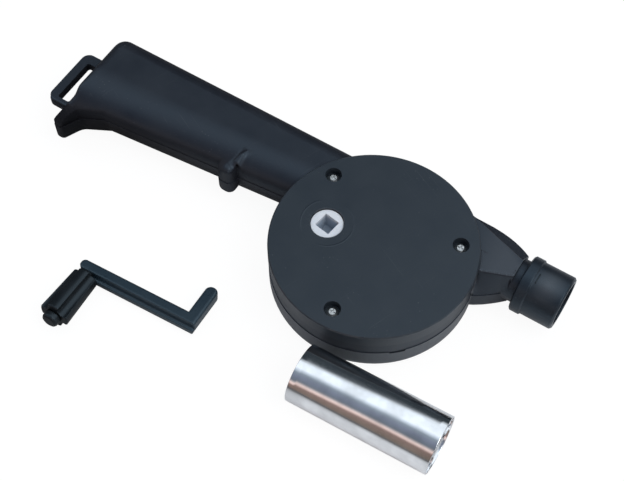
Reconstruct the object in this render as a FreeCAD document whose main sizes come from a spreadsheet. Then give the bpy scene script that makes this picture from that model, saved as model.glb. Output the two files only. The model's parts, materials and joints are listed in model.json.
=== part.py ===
import FreeCAD, Part
import Sketcher
import math
import os

V = FreeCAD.Vector
UP = V(0, 0, 1)

# Hand crank fan, lying on its back, with its crank and its steel tube laid beside it.
# Origin on the drum's axis at the surface it lies on, +X from the handle to the outlet, +Z up.

DRIVING_SIZES = [
    ("total_height", 31.5, "surface to cover face"),
    ("parting_height", 16.5, "plane where the two shells meet"),
    ("cover_radius", 48.0, "gear cover"),
    ("cover_height", 7.6, "depth of the cover with its skirt"),
    ("cover_plate", 2.2, "cover face thickness"),
    ("cover_wall", 2.0, "cover skirt thickness"),
    ("drum_radius", 47.9, "rear shell"),
    ("seam_step", 0.3, "front shell stands in from the rear shell"),
    ("shell_wall", 2.2, "moulded wall"),
    ("drum_edge_round", 7.5, "rounding of the drum's back edge"),
    ("deck_top", 19.9, "floor of the gear space"),
    ("deck_plate", 2.0, "thickness of that floor"),
    ("handle_end", 171.2, "drum axis to the end of the handle"),
    ("handle_far_side", 40.1, "drum axis to the handle's straight side"),
    ("handle_near_end", 4.9, "drum axis to the near side, at the end"),
    ("handle_near_slope", 0.095, "how fast the near side closes in"),
    ("handle_half_depth", 13.0, "parting plane to the handle's back"),
    ("handle_edge_round", 8.6, "rounding along the handle"),
    ("handle_end_round", 6.2, "rounding at the handle's end"),
    ("heel_reach", 18.4, "tip of the heel hook from the drum axis"),
    ("heel_half_depth", 9.8, "half depth of the heel hook"),
    ("guard_place", 82.0, "finger guard behind the drum axis"),
    ("guard_width", 9.0, "finger guard along the handle"),
    ("guard_reach", 1.8, "finger guard past the drum axis line"),
    ("loop_length", 13.2, "lanyard loop past the handle's end"),
    ("loop_low_side", 7.5, "lanyard loop, near side"),
    ("loop_high_side", 25.6, "lanyard loop, far side"),
    ("loop_thickness", 5.0, "lanyard loop"),
    ("loop_corner", 4.2, "lanyard loop's outer corners"),
    ("slot_width", 6.9, "lanyard slot"),
    ("slot_gap", 1.3, "lanyard slot from the handle's end"),
    ("slot_low_side", 4.5, "lanyard slot, near end"),
    ("slot_high_side", 20.0, "lanyard slot, far end"),
    ("nozzle_axis", 25.7, "outlet axis from the drum axis"),
    ("duct_half_depth", 12.9, "parting plane to the duct's face"),
    ("duct_end", 60.8, "drum axis to the end of the duct"),
    ("neck_radius", 10.4, "spigot that carries the collar"),
    ("neck_bore", 8.4, "air way in the spigot"),
    ("neck_end", 74.0, "drum axis to the spigot's end"),
    ("collar_start", 64.0, "drum axis to the collar"),
    ("collar_end", 84.8, "drum axis to the collar's mouth"),
    ("collar_ring_end", 69.4, "end of the collar's stop ring"),
    ("collar_ring_radius", 13.7, "stop ring"),
    ("collar_radius", 13.0, "sleeve that takes the steel tube"),
    ("collar_bore", 10.45, "bore of the collar"),
    ("tube_outer", 13.8, "steel tube, outer radius"),
    ("tube_bore", 13.2, "steel tube, bore radius"),
    ("tube_length", 68.5, "steel tube"),
    ("tube_middle_x", 36.0, "where the tube lies"),
    ("tube_middle_y", -63.2, "where the tube lies"),
    ("tube_turn", 2.5, "degrees, how the tube lies"),
    ("screw_circle", 39.4, "radius of the cover screws' circle"),
    ("screw_shift", 0.8, "centre of that circle from the drum axis, both ways"),
    ("screw_hole", 3.85, "counterbore radius in the cover"),
    ("screw_seat", 27.1, "height the cover screws' heads sit at"),
    ("shell_screw_circle", 40.6, "radius of the shell screws in the drum"),
    ("head_radius", 2.85, "screw head"),
    ("head_height", 2.0, "screw head"),
    ("shank_radius", 1.45, "screw shank"),
    ("clear_radius", 1.6, "screw clearance hole"),
    ("drive_offset", 23.4, "drum axis to the crank's axis"),
    ("drive_angle", 186.0, "degrees, direction of the crank's axis"),
    ("gear_module", 0.8, "all gears"),
    ("drive_teeth", 44, "crank gear"),
    ("idler_small_teeth", 12, "idler pinion"),
    ("idler_large_teeth", 32, "idler wheel"),
    ("fan_teeth", 10, "pinion on the fan's shaft"),
    ("hub_radius", 7.45, "crank gear's hub"),
    ("hub_hole", 7.8, "hole in the cover round the hub"),
    ("hub_recess", 0.9, "hub below the cover's face"),
    ("socket_side", 7.8, "square socket"),
    ("socket_depth", 9.6, "square socket"),
    ("socket_turn", -8.8, "degrees, how the square stands"),
    ("journal_radius", 5.0, "crank gear's lower journal"),
    ("running_gap", 0.05, "radial play of a bearing"),
    ("shaft_radius", 2.0, "fan shaft and idler pin"),
    ("bush_radius", 3.5, "bronze bushes"),
    ("fan_radius", 36.0, "fan wheel"),
    ("fan_back", 15.4, "height of the fan's back plate"),
    ("fan_plate", 1.5, "fan back plate"),
    ("fan_foot", 4.2, "lowest edge of the blades"),
    ("blade_count", 12, "fan blades"),
    ("blade_thickness", 1.4, "fan blade"),
    ("crank_throw", 55.0, "crank peg to crank grip"),
    ("bar_width", 6.3, "crank bar"),
    ("bar_overhang", 2.2, "crank bar past the grip's pin"),
    ("peg_length", 17.7, "crank peg past the bar"),
    ("grip_length", 25.0, "crank grip"),
    ("grip_radius_near", 6.3, "grip at the crank"),
    ("grip_radius_far", 7.3, "grip at its free end"),
    ("grip_pin_radius", 2.6, "pin through the grip"),
    ("pin_head_radius", 4.0, "pin's round head"),
    ("pin_head_length", 3.6, "pin's round head"),
    ("crank_x", -83.3, "where the crank lies"),
    ("crank_y", -69.2, "where the crank lies"),
    ("crank_turn", 3.2, "degrees, how the crank lies"),
]


class Size:
    """A length that keeps its value together with the sheet formula that gives it."""

    def __init__(self, value, formula):
        self.value = value
        self.formula = formula

    def join(self, sign, other, value):
        right = other.formula if isinstance(other, Size) else repr(other)
        return Size(value, "(%s %s %s)" % (self.formula, sign, right))

    def __add__(self, other):
        return self.join("+", other, self.value + plain(other))

    def __sub__(self, other):
        return self.join("-", other, self.value - plain(other))

    def __mul__(self, other):
        return self.join("*", other, self.value * plain(other))

    def __truediv__(self, other):
        return self.join("/", other, self.value / plain(other))

    def __neg__(self):
        return Size(-self.value, "(-1 * %s)" % self.formula)


def plain(length):
    """The number in a length, whether it is a Size or a number already."""
    return length.value if isinstance(length, Size) else length


doc = FreeCAD.newDocument("HandCrankFan")
sheet = doc.addObject("Spreadsheet::Sheet", "Sizes")
for row, (alias, number, note) in enumerate(DRIVING_SIZES, start=1):
    sheet.set("A%d" % row, alias.replace("_", " "))
    sheet.set("B%d" % row, str(number))
    sheet.set("C%d" % row, note)
    sheet.setAlias("B%d" % row, alias)
doc.recompute()


def size(alias):
    """A cell of the sheet as a Size."""
    return Size(float(sheet.get(alias)), "Sizes." + alias)


def mm(alias):
    """A cell of the sheet as a plain number."""
    return size(alias).value


NODES = []


def node(feature, label):
    """Names a finished sub-part, which also names its file."""
    feature.Label = label
    NODES.append(feature)
    return feature


def bind(feature, prop, length):
    """Ties a property to the sheet, or sets it where it is a bare number."""
    if isinstance(length, Size):
        feature.setExpression(prop, length.formula)
    else:
        setattr(feature, prop, length)


# Sketches and features


def new_body(label):
    body = doc.addObject("PartDesign::Body", "Body_" + label)
    return node(body, label)


def new_sketch(body, name, role="XY_Plane", lift=None):
    """A sketch on one of the body's own origin planes, raised along its normal by lift."""
    sketch = body.newObject("Sketcher::SketchObject", name)
    plane = [item for item in body.Origin.OriginFeatures if item.Role == role][0]
    sketch.AttachmentSupport = [(plane, "")]
    sketch.MapMode = "FlatFace"
    if isinstance(lift, Size):
        sketch.setExpression("AttachmentOffset.Base.z", lift.formula)
    elif lift is not None:
        sketch.AttachmentOffset = FreeCAD.Placement(V(0, 0, lift), FreeCAD.Rotation())
    return sketch


def pin_point(sketch, curve, end, x, y):
    """Fixes one point of a sketch at x and y, each tied to the sheet."""
    for kind, length, axis in (("DistanceX", x, -2), ("DistanceY", y, -1)):
        number = plain(length)
        if abs(number) < 1e-9:
            sketch.addConstraint(Sketcher.Constraint("PointOnObject", curve, end, axis))
            continue
        ends = (-1, 1, curve, end) if number > 0 else (curve, end, -1, 1)
        index = sketch.addConstraint(Sketcher.Constraint(kind, *ends, abs(number)))
        if isinstance(length, Size):
            formula = length.formula if number > 0 else (-length).formula
            sketch.setExpression("Constraints[%d]" % index, formula)


def draw_polygon(sketch, corners):
    """Closed outline of straight edges through corners, a list of x and y."""
    points = [V(plain(x), plain(y), 0) for x, y in corners]
    first = sketch.GeometryCount
    total = len(points)
    for i in range(total):
        sketch.addGeometry(Part.LineSegment(points[i], points[(i + 1) % total]), False)
    for i in range(total):
        following = first + (i + 1) % total
        sketch.addConstraint(Sketcher.Constraint("Coincident", first + i, 2, following, 1))
    for i, (x, y) in enumerate(corners):
        pin_point(sketch, first + i, 1, x, y)


def draw_circle(sketch, x, y, radius):
    """Circle about x and y, with its radius tied to the sheet."""
    circle = Part.Circle(V(plain(x), plain(y), 0), UP, plain(radius))
    curve = sketch.addGeometry(circle, False)
    pin_point(sketch, curve, 3, x, y)
    index = sketch.addConstraint(Sketcher.Constraint("Radius", curve, plain(radius)))
    if isinstance(radius, Size):
        sketch.setExpression("Constraints[%d]" % index, radius.formula)


def turned(body, name, outline, groove=False):
    """Revolves an outline of radius and height about the body's Z axis."""
    sketch = new_sketch(body, name + "_profile", "XZ_Plane")
    draw_polygon(sketch, outline)
    kind = "PartDesign::Groove" if groove else "PartDesign::Revolution"
    feature = body.newObject(kind, name)
    feature.Profile = sketch
    feature.ReferenceAxis = (sketch, ["V_Axis"])
    feature.Angle = 360.0
    return feature


def padded(body, name, sketch, length, midplane=False, reverse=False):
    feature = body.newObject("PartDesign::Pad", name)
    feature.Profile = sketch
    bind(feature, "Length", length)
    feature.Midplane = midplane
    feature.Reversed = reverse
    return feature


def pocketed(body, name, sketch, length, midplane=False, reverse=False):
    """Cuts a sketch into the body, down against the sketch's normal unless reversed."""
    feature = body.newObject("PartDesign::Pocket", name)
    feature.Profile = sketch
    bind(feature, "Length", length)
    feature.Midplane = midplane
    feature.Reversed = reverse
    return feature


def polar(body, name, original, count, role="Z_Axis"):
    """Repeats a feature round one of the body's axes."""
    axis = [item for item in body.Origin.OriginFeatures if item.Role == role][0]
    pattern = body.newObject("PartDesign::PolarPattern", name)
    pattern.Originals = [original]
    pattern.Axis = (axis, [""])
    pattern.Angle = 360.0
    pattern.Occurrences = int(count)
    body.Tip = pattern
    return pattern


def solid_node(label, shape, placement=None):
    """A sub-part whose shape comes from Part's functions."""
    feature = doc.addObject("Part::Feature", "Shape_" + label)
    feature.Shape = shape
    if placement is not None:
        feature.Placement = placement
    return node(feature, label)


# Part shapes shared by several pieces


def cylinder(radius, low, high, x=0.0, y=0.0):
    return Part.makeCylinder(radius, high - low, V(x, y, low), UP)


def box(low, high):
    spans = [high[i] - low[i] for i in range(3)]
    return Part.makeBox(*spans, V(*low))


def ring_place(radius, degrees):
    angle = math.radians(degrees)
    return radius * math.cos(angle), radius * math.sin(angle)


def carved(shape, tools):
    """The shape with every tool cut out of it in turn."""
    for tool in tools:
        shape = shape.cut(tool)
    return shape


def united(shapes):
    """One solid from shapes that touch or overlap, joined in turn."""
    joined = shapes[0]
    for shape in shapes[1:]:
        joined = joined.fuse(shape)
    return joined


# Housing: two moulded shells that share one outline


PARTING = mm("parting_height")
WALL = mm("shell_wall")
HANDLE_ROOT = -25.0
NOZZLE_Y = mm("nozzle_axis")
COVER_FOOT = mm("total_height") - mm("cover_height")
DRIVE_X, DRIVE_Y = ring_place(mm("drive_offset"), mm("drive_angle"))
SCREW_ANGLES = (28.5, 148.6, 273.8)
COVER_SCREWS = [(x - mm("screw_shift"), y + mm("screw_shift")) for x, y in
                [ring_place(mm("screw_circle"), angle) for angle in SCREW_ANGLES]]
DRUM_SCREWS = [ring_place(mm("shell_screw_circle"), angle) for angle in (100, 215, 320)]
HANDLE_SCREWS = [(-78.0, 21.0), (-152.0, 18.0)]
BORE = mm("clear_radius")
SEAT_WALL = 1.2
SEAT_PLATE = 1.6
DRUM_SEAT = 6.0
HANDLE_SEAT = 9.0
SCREW_HEAD_ROOM = 3.2
DRUM_POST_TOP = 23.4
COVER_HOLE_FOOT = 18.6
DRUM_HOLE_TOP = 22.0
HANDLE_HOLE_TOP = 25.0
PIN_FOOT = 17.0
JOURNAL_FOOT = 17.6
BUSH_FOOT = 1.3
REAR_BOSS_TOP = 5.2
HEEL_LEAN = 1.4
HEEL_TIP_WIDTH = 5.4
HEEL_TIP_ROUND = 2.5
HEEL_THROAT_X = 8.6
HEEL_THROAT_Y = 8.6
HEEL_THROAT_ROUND = 7.0
HEEL_RIM_ROUND = 2.0
HEEL_ROOT = -148.0
HEEL_CREST_Y = 4.0


def edges_where(shape, test):
    """Edges whose middle point passes the test."""
    return [edge for edge in shape.Edges if test(edge.valueAt(
        (edge.FirstParameter + edge.LastParameter) / 2))]


def handle_form(inset):
    """Tapered handle with long rounded edges, drawn in by inset on every side."""
    end = -mm("handle_end") + inset
    far = mm("handle_far_side") - inset
    slope = mm("handle_near_slope")
    near_end = -mm("handle_near_end") + inset
    near_root = near_end + slope * (HANDLE_ROOT - end)
    corners = [V(end, near_end), V(HANDLE_ROOT, near_root), V(HANDLE_ROOT, far), V(end, far)]
    half = mm("handle_half_depth") - inset
    face = Part.Face(Part.makePolygon(corners + corners[:1]))
    face.translate(V(0, 0, PARTING - half))
    form = face.extrude(V(0, 0, 2 * half))
    middle = (end + HANDLE_ROOT) / 2
    long_edges = edges_where(form, lambda p: abs(p.x - middle) < 1)
    form = form.makeFillet(mm("handle_edge_round") - inset, long_edges)
    end_edges = edges_where(form, lambda p: abs(p.x - end) < 0.01)
    return form.makeFillet(mm("handle_end_round"), end_edges)


def heel_form(inset):
    """Hook below the handle's end, which keeps the hand from slipping off."""
    end = -mm("handle_end") + inset
    tip = -mm("heel_reach") + inset
    half = mm("heel_half_depth") - inset
    throat = end + HEEL_THROAT_X - 2 * inset
    corners = [V(end, 12.0), V(end, -4.0), V(end - HEEL_LEAN, tip),
               V(end - HEEL_LEAN + HEEL_TIP_WIDTH - 2 * inset, tip),
               V(throat, -HEEL_THROAT_Y + inset), V(HEEL_ROOT, -1.0 + inset), V(HEEL_ROOT, 12.0)]
    face = Part.Face(Part.makePolygon(corners + corners[:1]))
    face.translate(V(0, 0, PARTING - half))
    form = face.extrude(V(0, 0, 2 * half))
    form = form.makeFillet(HEEL_TIP_ROUND - inset, edges_where(
        form, lambda p: p.y < tip + 0.01 and abs(p.z - PARTING) < 0.01))
    form = form.makeFillet(HEEL_THROAT_ROUND, edges_where(
        form, lambda p: abs(p.x - throat) < 0.01 and abs(p.z - PARTING) < 0.01))
    rims = edges_where(form, lambda p: p.y < -4.2 and abs(p.z - PARTING) > half - 0.01)
    form = form.makeFillet(HEEL_RIM_ROUND, rims)
    return form.cut(above_thumb(end, tip, half)).cut(above_end(end, tip, half))


def above_thumb(end, tip, half):
    """What lies over the heel's top, which drops to its tip as a quarter of an ellipse."""
    middle = V(end - 10.0, HEEL_CREST_Y, PARTING)
    nose = V(middle.x, tip, PARTING)
    crest = V(middle.x, HEEL_CREST_Y, PARTING + half + 0.4)
    rim = Part.Wire(Part.Ellipse(nose, crest, middle).toShape())
    thumb = Part.Face(rim).extrude(V(50.0, 0, 0))
    over = box((end - 5.0, tip - 5.0, PARTING), (HEEL_ROOT + 1.0, HEEL_CREST_Y, PARTING + 20.0))
    return over.cut(thumb)


def above_end(end, tip, half):
    """What lies outside the large rounding at the top of the heel's end face."""
    barrel = Part.makeCylinder(half, 60.0, V(end - HEEL_LEAN + half, tip - 10.0, PARTING), V(0, 1, 0))
    over = box((end - 5.0, tip - 5.0, PARTING), (end - HEEL_LEAN + half, 10.0, PARTING + 20.0))
    return over.cut(barrel)


def guard_form(inset):
    """Small finger guard: a rounded rib that wraps the handle's near side."""
    middle = -mm("guard_place")
    half = mm("guard_width") / 2 - inset
    low = (middle - half, -mm("guard_reach") + inset, PARTING - 9.5 + inset)
    form = box(low, (middle + half, 14.0, PARTING + 11.0 - inset))
    sides = edges_where(form, lambda p: p.y < low[1] + 0.01 and abs(p.x - middle) > half - 0.01)
    form = form.makeFillet(3.6 - inset, sides)
    ends = edges_where(form, lambda p: p.y < 10.0 and abs(p.z - PARTING) > 9.0)
    return form.makeFillet(3.0, ends)


def loop_form(inset):
    """Flat loop for a lanyard, with its slot."""
    end = -mm("handle_end")
    half = mm("loop_thickness") / 2 - inset
    low = (end - mm("loop_length") + inset, -mm("loop_low_side") + inset, PARTING - half)
    form = box(low, (end + WALL, mm("loop_high_side") - inset, PARTING + half))
    corners = edges_where(form, lambda p: p.x < low[0] + 0.01 and abs(p.z - PARTING) < 0.01)
    form = form.makeFillet(mm("loop_corner"), corners)
    slot_right = end - mm("slot_gap")
    slot = box((slot_right - mm("slot_width"), -mm("slot_low_side"), PARTING - 5.0),
               (slot_right, mm("slot_high_side"), PARTING + 5.0))
    slot_corners = edges_where(slot, lambda p: abs(p.z - PARTING) < 0.01)
    return form.cut(slot.makeFillet(1.2, slot_corners))


DUCT_STATIONS = (14.0, 30.0, 40.0, 45.0, 49.0, 52.5, 55.5, 58.2, mm("duct_end"))
DUCT_NEAR_ROOT = 0.1
DUCT_NEAR_SLOPE = 0.395
LOBE_START = 40.0
LOBE_ROOT = 4.5
LOBE_RISE = 13.3
LOBE_BEND = 1.6
DUCT_FAR_ROOT = 43.2
DUCT_FAR_DROP = 5.6
DUCT_BEND_START = 30.0
BEVEL_ROOT = 42.8
BEVEL_SLOPE = 0.3
BEVEL_FOOT = 3.5
FRONT_ROUND = 2.0
REAR_ROUND = 6.0


def near_wall(x):
    """Near side of the duct's front half, a straight line in plan."""
    return DUCT_NEAR_ROOT + DUCT_NEAR_SLOPE * (x - DUCT_STATIONS[0])


def near_lobe(x):
    """Near side of the duct's rear half, which flares out of the drum in a long curve."""
    rise = max(0.0, (x - LOBE_START) / (mm("duct_end") - LOBE_START))
    return LOBE_ROOT + LOBE_RISE * rise ** LOBE_BEND


def far_wall(x):
    """Far side of the duct, which bends in more and more towards the neck."""
    run = max(0.0, (x - DUCT_BEND_START) / (mm("duct_end") - DUCT_BEND_START))
    return DUCT_FAR_ROOT - DUCT_FAR_DROP * run ** 3


def bevel_edge(x):
    """Where the duct's flat face ends and its long bevel starts."""
    return BEVEL_ROOT - BEVEL_SLOPE * (x - DUCT_STATIONS[0])


def corner_arc(x, corner, first, last):
    """Quarter bend in the section at x between two (y, z) points, round the given centre."""
    radius = math.hypot(first[0] - corner[0], first[1] - corner[1])
    middle = ((first[0] + last[0]) / 2 - corner[0], (first[1] + last[1]) / 2 - corner[1])
    stretch = radius / math.hypot(*middle)
    top = V(x, corner[0] + middle[0] * stretch, corner[1] + middle[1] * stretch)
    return Part.Arc(V(x, *first), top, V(x, *last)).toShape()


def front_section(x, inset):
    """Front half of the duct at x: flat face, bevel on the far side, small near rounding."""
    roof = PARTING + mm("duct_half_depth") - inset
    low, high = near_wall(x) + inset, far_wall(x) - inset
    turn = FRONT_ROUND - inset / 2
    ridge = bevel_edge(x) - inset / 2
    points = [(low, PARTING - 1.0), (high, PARTING - 1.0), (high, PARTING + BEVEL_FOOT),
              (ridge, roof), (low + turn, roof)]
    edges = [Part.makeLine(V(x, *a), V(x, *b)) for a, b in zip(points, points[1:])]
    edges.append(corner_arc(x, (low + turn, roof - turn), points[-1], (low, roof - turn)))
    edges.append(Part.makeLine(V(x, low, roof - turn), V(x, *points[0])))
    return Part.Wire(edges)


def rear_section(x, inset):
    """Rear half of the duct at x, with a large near rounding and a bevel on the far side."""
    floor = PARTING - mm("duct_half_depth") + inset
    low, high = near_lobe(x) + inset, far_wall(x) - inset
    turn = REAR_ROUND - inset / 2
    points = [(low + turn, floor), (high - REAR_ROUND, floor), (high, floor + REAR_ROUND),
              (high, PARTING), (low, PARTING), (low, floor + turn)]
    edges = [Part.makeLine(V(x, *a), V(x, *b)) for a, b in zip(points, points[1:])]
    edges.append(corner_arc(x, (low + turn, floor + turn), points[-1], points[0]))
    return Part.Wire(edges)


def duct_form(inset):
    """Outlet duct, from a flat box beside the drum to a narrow neck."""
    halves = [Part.makeLoft([section(x, inset) for x in DUCT_STATIONS], True, True)
              for section in (front_section, rear_section)]
    return halves[0].fuse(halves[1])


def nozzle_cylinder(radius, start, end):
    """Cylinder about the outlet's axis."""
    return Part.makeCylinder(radius, end - start, V(start, NOZZLE_Y, PARTING), V(1, 0, 0))


def outer_form(inset):
    """Outside of the whole housing without its cover."""
    drum = cylinder(mm("drum_radius") - inset, inset, COVER_FOOT)
    foot = edges_where(drum, lambda p: abs(p.z - inset) < 0.01 and abs(p.x) > 1)
    drum = drum.makeFillet(mm("drum_edge_round"), foot)
    inside = cylinder(mm("drum_radius") - WALL - 0.5, -1.0, 40.0)
    spigot = nozzle_cylinder(mm("neck_radius"), mm("duct_end") - 7.5, mm("neck_end"))
    return united([drum, handle_form(inset).cut(inside), heel_form(inset), guard_form(inset),
                   loop_form(inset), duct_form(inset).cut(inside), spigot])


def cavity_form():
    """Hollows of both shells: handle, fan chamber, duct and gear space."""
    deck_low = mm("deck_top") - mm("deck_plate")
    cover_seat = mm("cover_radius") + 0.2
    keep_wall = cylinder(mm("drum_radius"), -1.0, 40.0)
    keep_wall = keep_wall.fuse(cylinder(cover_seat + WALL, COVER_FOOT - WALL, 40.0))
    keep_duct = cylinder(mm("drum_radius"), deck_low, 40.0)
    keep_duct = keep_duct.fuse(cylinder(cover_seat + WALL, COVER_FOOT - WALL, 40.0))
    chamber_radius = mm("drum_radius") - WALL
    chamber = cylinder(chamber_radius, WALL, deck_low)
    floor_edge = edges_where(chamber, lambda p: abs(p.z - WALL) < 0.01 and abs(p.x) > 1)
    chamber = chamber.makeFillet(mm("drum_edge_round") - WALL, floor_edge)
    return [
        handle_form(WALL).cut(keep_wall),
        chamber,
        duct_form(WALL).cut(keep_duct),
        nozzle_cylinder(mm("neck_bore"), mm("duct_end") - 6.0, mm("neck_end") + 1.0),
        cylinder(chamber_radius, mm("deck_top"), COVER_FOOT + 1.0),
        cylinder(cover_seat, COVER_FOOT, 40.0),
    ]


def front_posts():
    """Screw posts and bearing bosses that stand on the front shell's walls."""
    deck_low = mm("deck_top") - mm("deck_plate")
    post_top = mm("screw_seat") - SEAT_PLATE - 0.1
    posts = [cylinder(4.0, deck_low, post_top, x, y) for x, y in COVER_SCREWS]
    posts += [cylinder(3.6, PARTING, DRUM_POST_TOP, x, y) for x, y in DRUM_SCREWS]
    roof = PARTING + mm("handle_half_depth") - WALL / 2
    posts += [cylinder(4.0, PARTING, roof, x, y) for x, y in HANDLE_SCREWS]
    posts.append(cylinder(5.0, mm("fan_back") + 0.5, mm("deck_top")))
    posts.append(cylinder(7.2, mm("fan_back") + 0.9, mm("deck_top"), DRIVE_X, DRIVE_Y))
    posts.append(cylinder(4.0, mm("fan_back") + 0.9, mm("deck_top"), IDLER_X, IDLER_Y))
    return posts


def front_holes():
    """Pilot holes for the screws, and seats for the gears and the front bush."""
    shank = mm("shank_radius")
    above = mm("deck_top") + 1.0
    holes = [cylinder(shank, COVER_HOLE_FOOT, COVER_FOOT + WALL, x, y) for x, y in COVER_SCREWS]
    holes += [cylinder(shank, PARTING - 1.0, DRUM_HOLE_TOP, x, y) for x, y in DRUM_SCREWS]
    holes += [cylinder(shank, PARTING - 1.0, HANDLE_HOLE_TOP, x, y) for x, y in HANDLE_SCREWS]
    holes.append(cylinder(mm("bush_radius"), mm("fan_back"), above))
    journal = mm("journal_radius") + mm("running_gap")
    holes.append(cylinder(journal, JOURNAL_FOOT, above, DRIVE_X, DRIVE_Y))
    holes.append(cylinder(mm("shaft_radius"), PIN_FOOT, above, IDLER_X, IDLER_Y))
    return holes


def rear_posts():
    """Tubes that guide the shell screws, and the boss of the rear bush."""
    posts = [cylinder(4.2, WALL / 2, PARTING, x, y) for x, y in DRUM_SCREWS]
    floor = PARTING - mm("handle_half_depth") + WALL / 2
    posts += [cylinder(4.6, floor, PARTING, x, y) for x, y in HANDLE_SCREWS]
    posts.append(cylinder(5.2, WALL / 2, REAR_BOSS_TOP))
    return posts


def rear_holes():
    """Screw counterbores, the rear bush's seat and the air intake's slots."""
    holes = []
    for x, y in DRUM_SCREWS + HANDLE_SCREWS:
        holes.append(cylinder(BORE, 0.0, PARTING + 1.0, x, y))
    holes += [cylinder(SCREW_HEAD_ROOM, -1.0, DRUM_SEAT, x, y) for x, y in DRUM_SCREWS]
    holes += [cylinder(SCREW_HEAD_ROOM, 0.0, HANDLE_SEAT, x, y) for x, y in HANDLE_SCREWS]
    holes.append(cylinder(mm("bush_radius"), BUSH_FOOT, REAR_BOSS_TOP + 1.0))
    spokes = [box((0.0, -1.6, -2.0), (30.0, 1.6, 4.0)) for _ in range(6)]
    for i, spoke in enumerate(spokes):
        spoke.rotate(V(0, 0, 0), UP, 60.0 * i + 30.0)
    for inner in (9.6, 14.2, 18.8, 23.4):
        ring = cylinder(inner + 2.8, -1.0, WALL + 1.0).cut(cylinder(inner, -1.0, WALL + 1.0))
        holes.append(ring.cut(spokes[0].multiFuse(spokes[1:])))
    return holes


def pry_notch():
    """Short slot in the seam where the shells are levered apart."""
    notch = box((mm("drum_radius") - 1.0, -3.6, PARTING - 1.1), (60.0, 3.6, PARTING + 0.1))
    notch.rotate(V(0, 0, 0), UP, -46.0)
    return notch


def gear_centres():
    """Idler axis: as far from each shaft as its two meshes ask."""
    module = mm("gear_module")
    to_drive = module * (mm("drive_teeth") + mm("idler_small_teeth")) / 2
    to_fan = module * (mm("idler_large_teeth") + mm("fan_teeth")) / 2
    apart = mm("drive_offset")
    along = (to_fan ** 2 + apart ** 2 - to_drive ** 2) / (2 * apart)
    across = math.sqrt(to_fan ** 2 - along ** 2)
    unit_x, unit_y = DRIVE_X / apart, DRIVE_Y / apart
    return along * unit_x - across * unit_y, along * unit_y + across * unit_x


IDLER_X, IDLER_Y = gear_centres()

cavities = cavity_form()
upper_space = box((-250, -150, PARTING), (150, 150, 60))
lower_space = box((-250, -150, -5), (150, 150, PARTING))

front = outer_form(mm("seam_step")).common(upper_space)
front = carved(front, cavities)
front = carved(united([front] + front_posts()), front_holes())
solid_node("front_housing", front)

rear = outer_form(0.0).common(lower_space)
rear = carved(rear, cavities)
rear = carved(united([rear] + rear_posts()), rear_holes() + [pry_notch()])
solid_node("rear_housing", rear)


# Screws


def screw(head_z, length, x, y, facing=1):
    """Pan head screw with a cross recess, its head's top at head_z, pointing down or up."""
    head = mm("head_radius")
    tall = mm("head_height")
    shank = mm("shank_radius")
    outline = [V(0, 0, 0), V(head * 0.55, 0, 0), V(head, 0, -tall * 0.55), V(head, 0, -tall),
               V(shank, 0, -tall), V(shank, 0, -length), V(shank * 0.3, 0, -length - 1.2),
               V(0, 0, -length - 1.2)]
    body = Part.Face(Part.makePolygon(outline + outline[:1])).revolve(V(0, 0, 0), UP, 360)
    slot = box((-1.5, -0.35, -1.1), (1.5, 0.35, 1.0))
    cross = slot.copy()
    cross.rotate(V(0, 0, 0), UP, 90)
    body = body.cut(slot.fuse(cross))
    if facing < 0:
        body.rotate(V(0, 0, 0), V(1, 0, 0), 180)
    body.translate(V(x, y, head_z))
    return body


COVER_SCREW_LENGTH = 8.9
cover_head = mm("screw_seat") + mm("head_height")
solid_node("cover_screws", Part.makeCompound(
    [screw(cover_head, COVER_SCREW_LENGTH, x, y) for x, y in COVER_SCREWS]))

shell_screws = [screw(DRUM_SEAT - mm("head_height"), 16.0, x, y, -1) for x, y in DRUM_SCREWS]
shell_screws += [screw(HANDLE_SEAT - mm("head_height"), 16.0, x, y, -1) for x, y in HANDLE_SCREWS]
solid_node("housing_screws", Part.makeCompound(shell_screws))


# Gear cover: a flat disc with a skirt, sunk screw seats and the hole round the hub


cover = new_body("gear_cover")
top = size("total_height")
under = top - size("cover_plate")
skirt = top - size("cover_height")
inner = size("cover_radius") - size("cover_wall")
edge = 0.5
turned(cover, "cover_disc", [
    (0, under), (inner, under), (inner, skirt), (size("cover_radius"), skirt),
    (size("cover_radius"), top - edge), (size("cover_radius") - edge, top), (0, top)])
post_sketch = new_sketch(cover, "seat_post_circles", lift=under + 0.1)
sink_sketch = new_sketch(cover, "screw_sink_circles", lift=top)
way_sketch = new_sketch(cover, "screw_way_circles", lift=top)
for angle in SCREW_ANGLES:
    along, across = ring_place(1.0, angle)
    place = (size("screw_circle") * along - size("screw_shift"),
             size("screw_circle") * across + size("screw_shift"))
    draw_circle(post_sketch, *place, size("screw_hole") + SEAT_WALL)
    draw_circle(sink_sketch, *place, size("screw_hole"))
    draw_circle(way_sketch, *place, size("clear_radius"))
padded(cover, "screw_seat_posts", post_sketch, under - size("screw_seat") + SEAT_PLATE, reverse=True)
pocketed(cover, "screw_sinks", sink_sketch, top - size("screw_seat"))
pocketed(cover, "screw_ways", way_sketch, size("cover_height"))
hub_sketch = new_sketch(cover, "hub_circle", lift=top)
hub_x, hub_y = ring_place(1.0, mm("drive_angle"))
draw_circle(hub_sketch, size("drive_offset") * hub_x, size("drive_offset") * hub_y, size("hub_hole"))
pocketed(cover, "hub_opening", hub_sketch, size("cover_plate") + 1.0)


# Outlet collar and steel tube


def along_x(x, y, z, degrees=0.0):
    """Placement that lays a piece built about Z along +X, turned about the vertical."""
    lay = FreeCAD.Rotation(V(0, 1, 0), 90)
    turn = FreeCAD.Rotation(UP, degrees)
    return FreeCAD.Placement(V(x, y, z), turn.multiply(lay))


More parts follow.
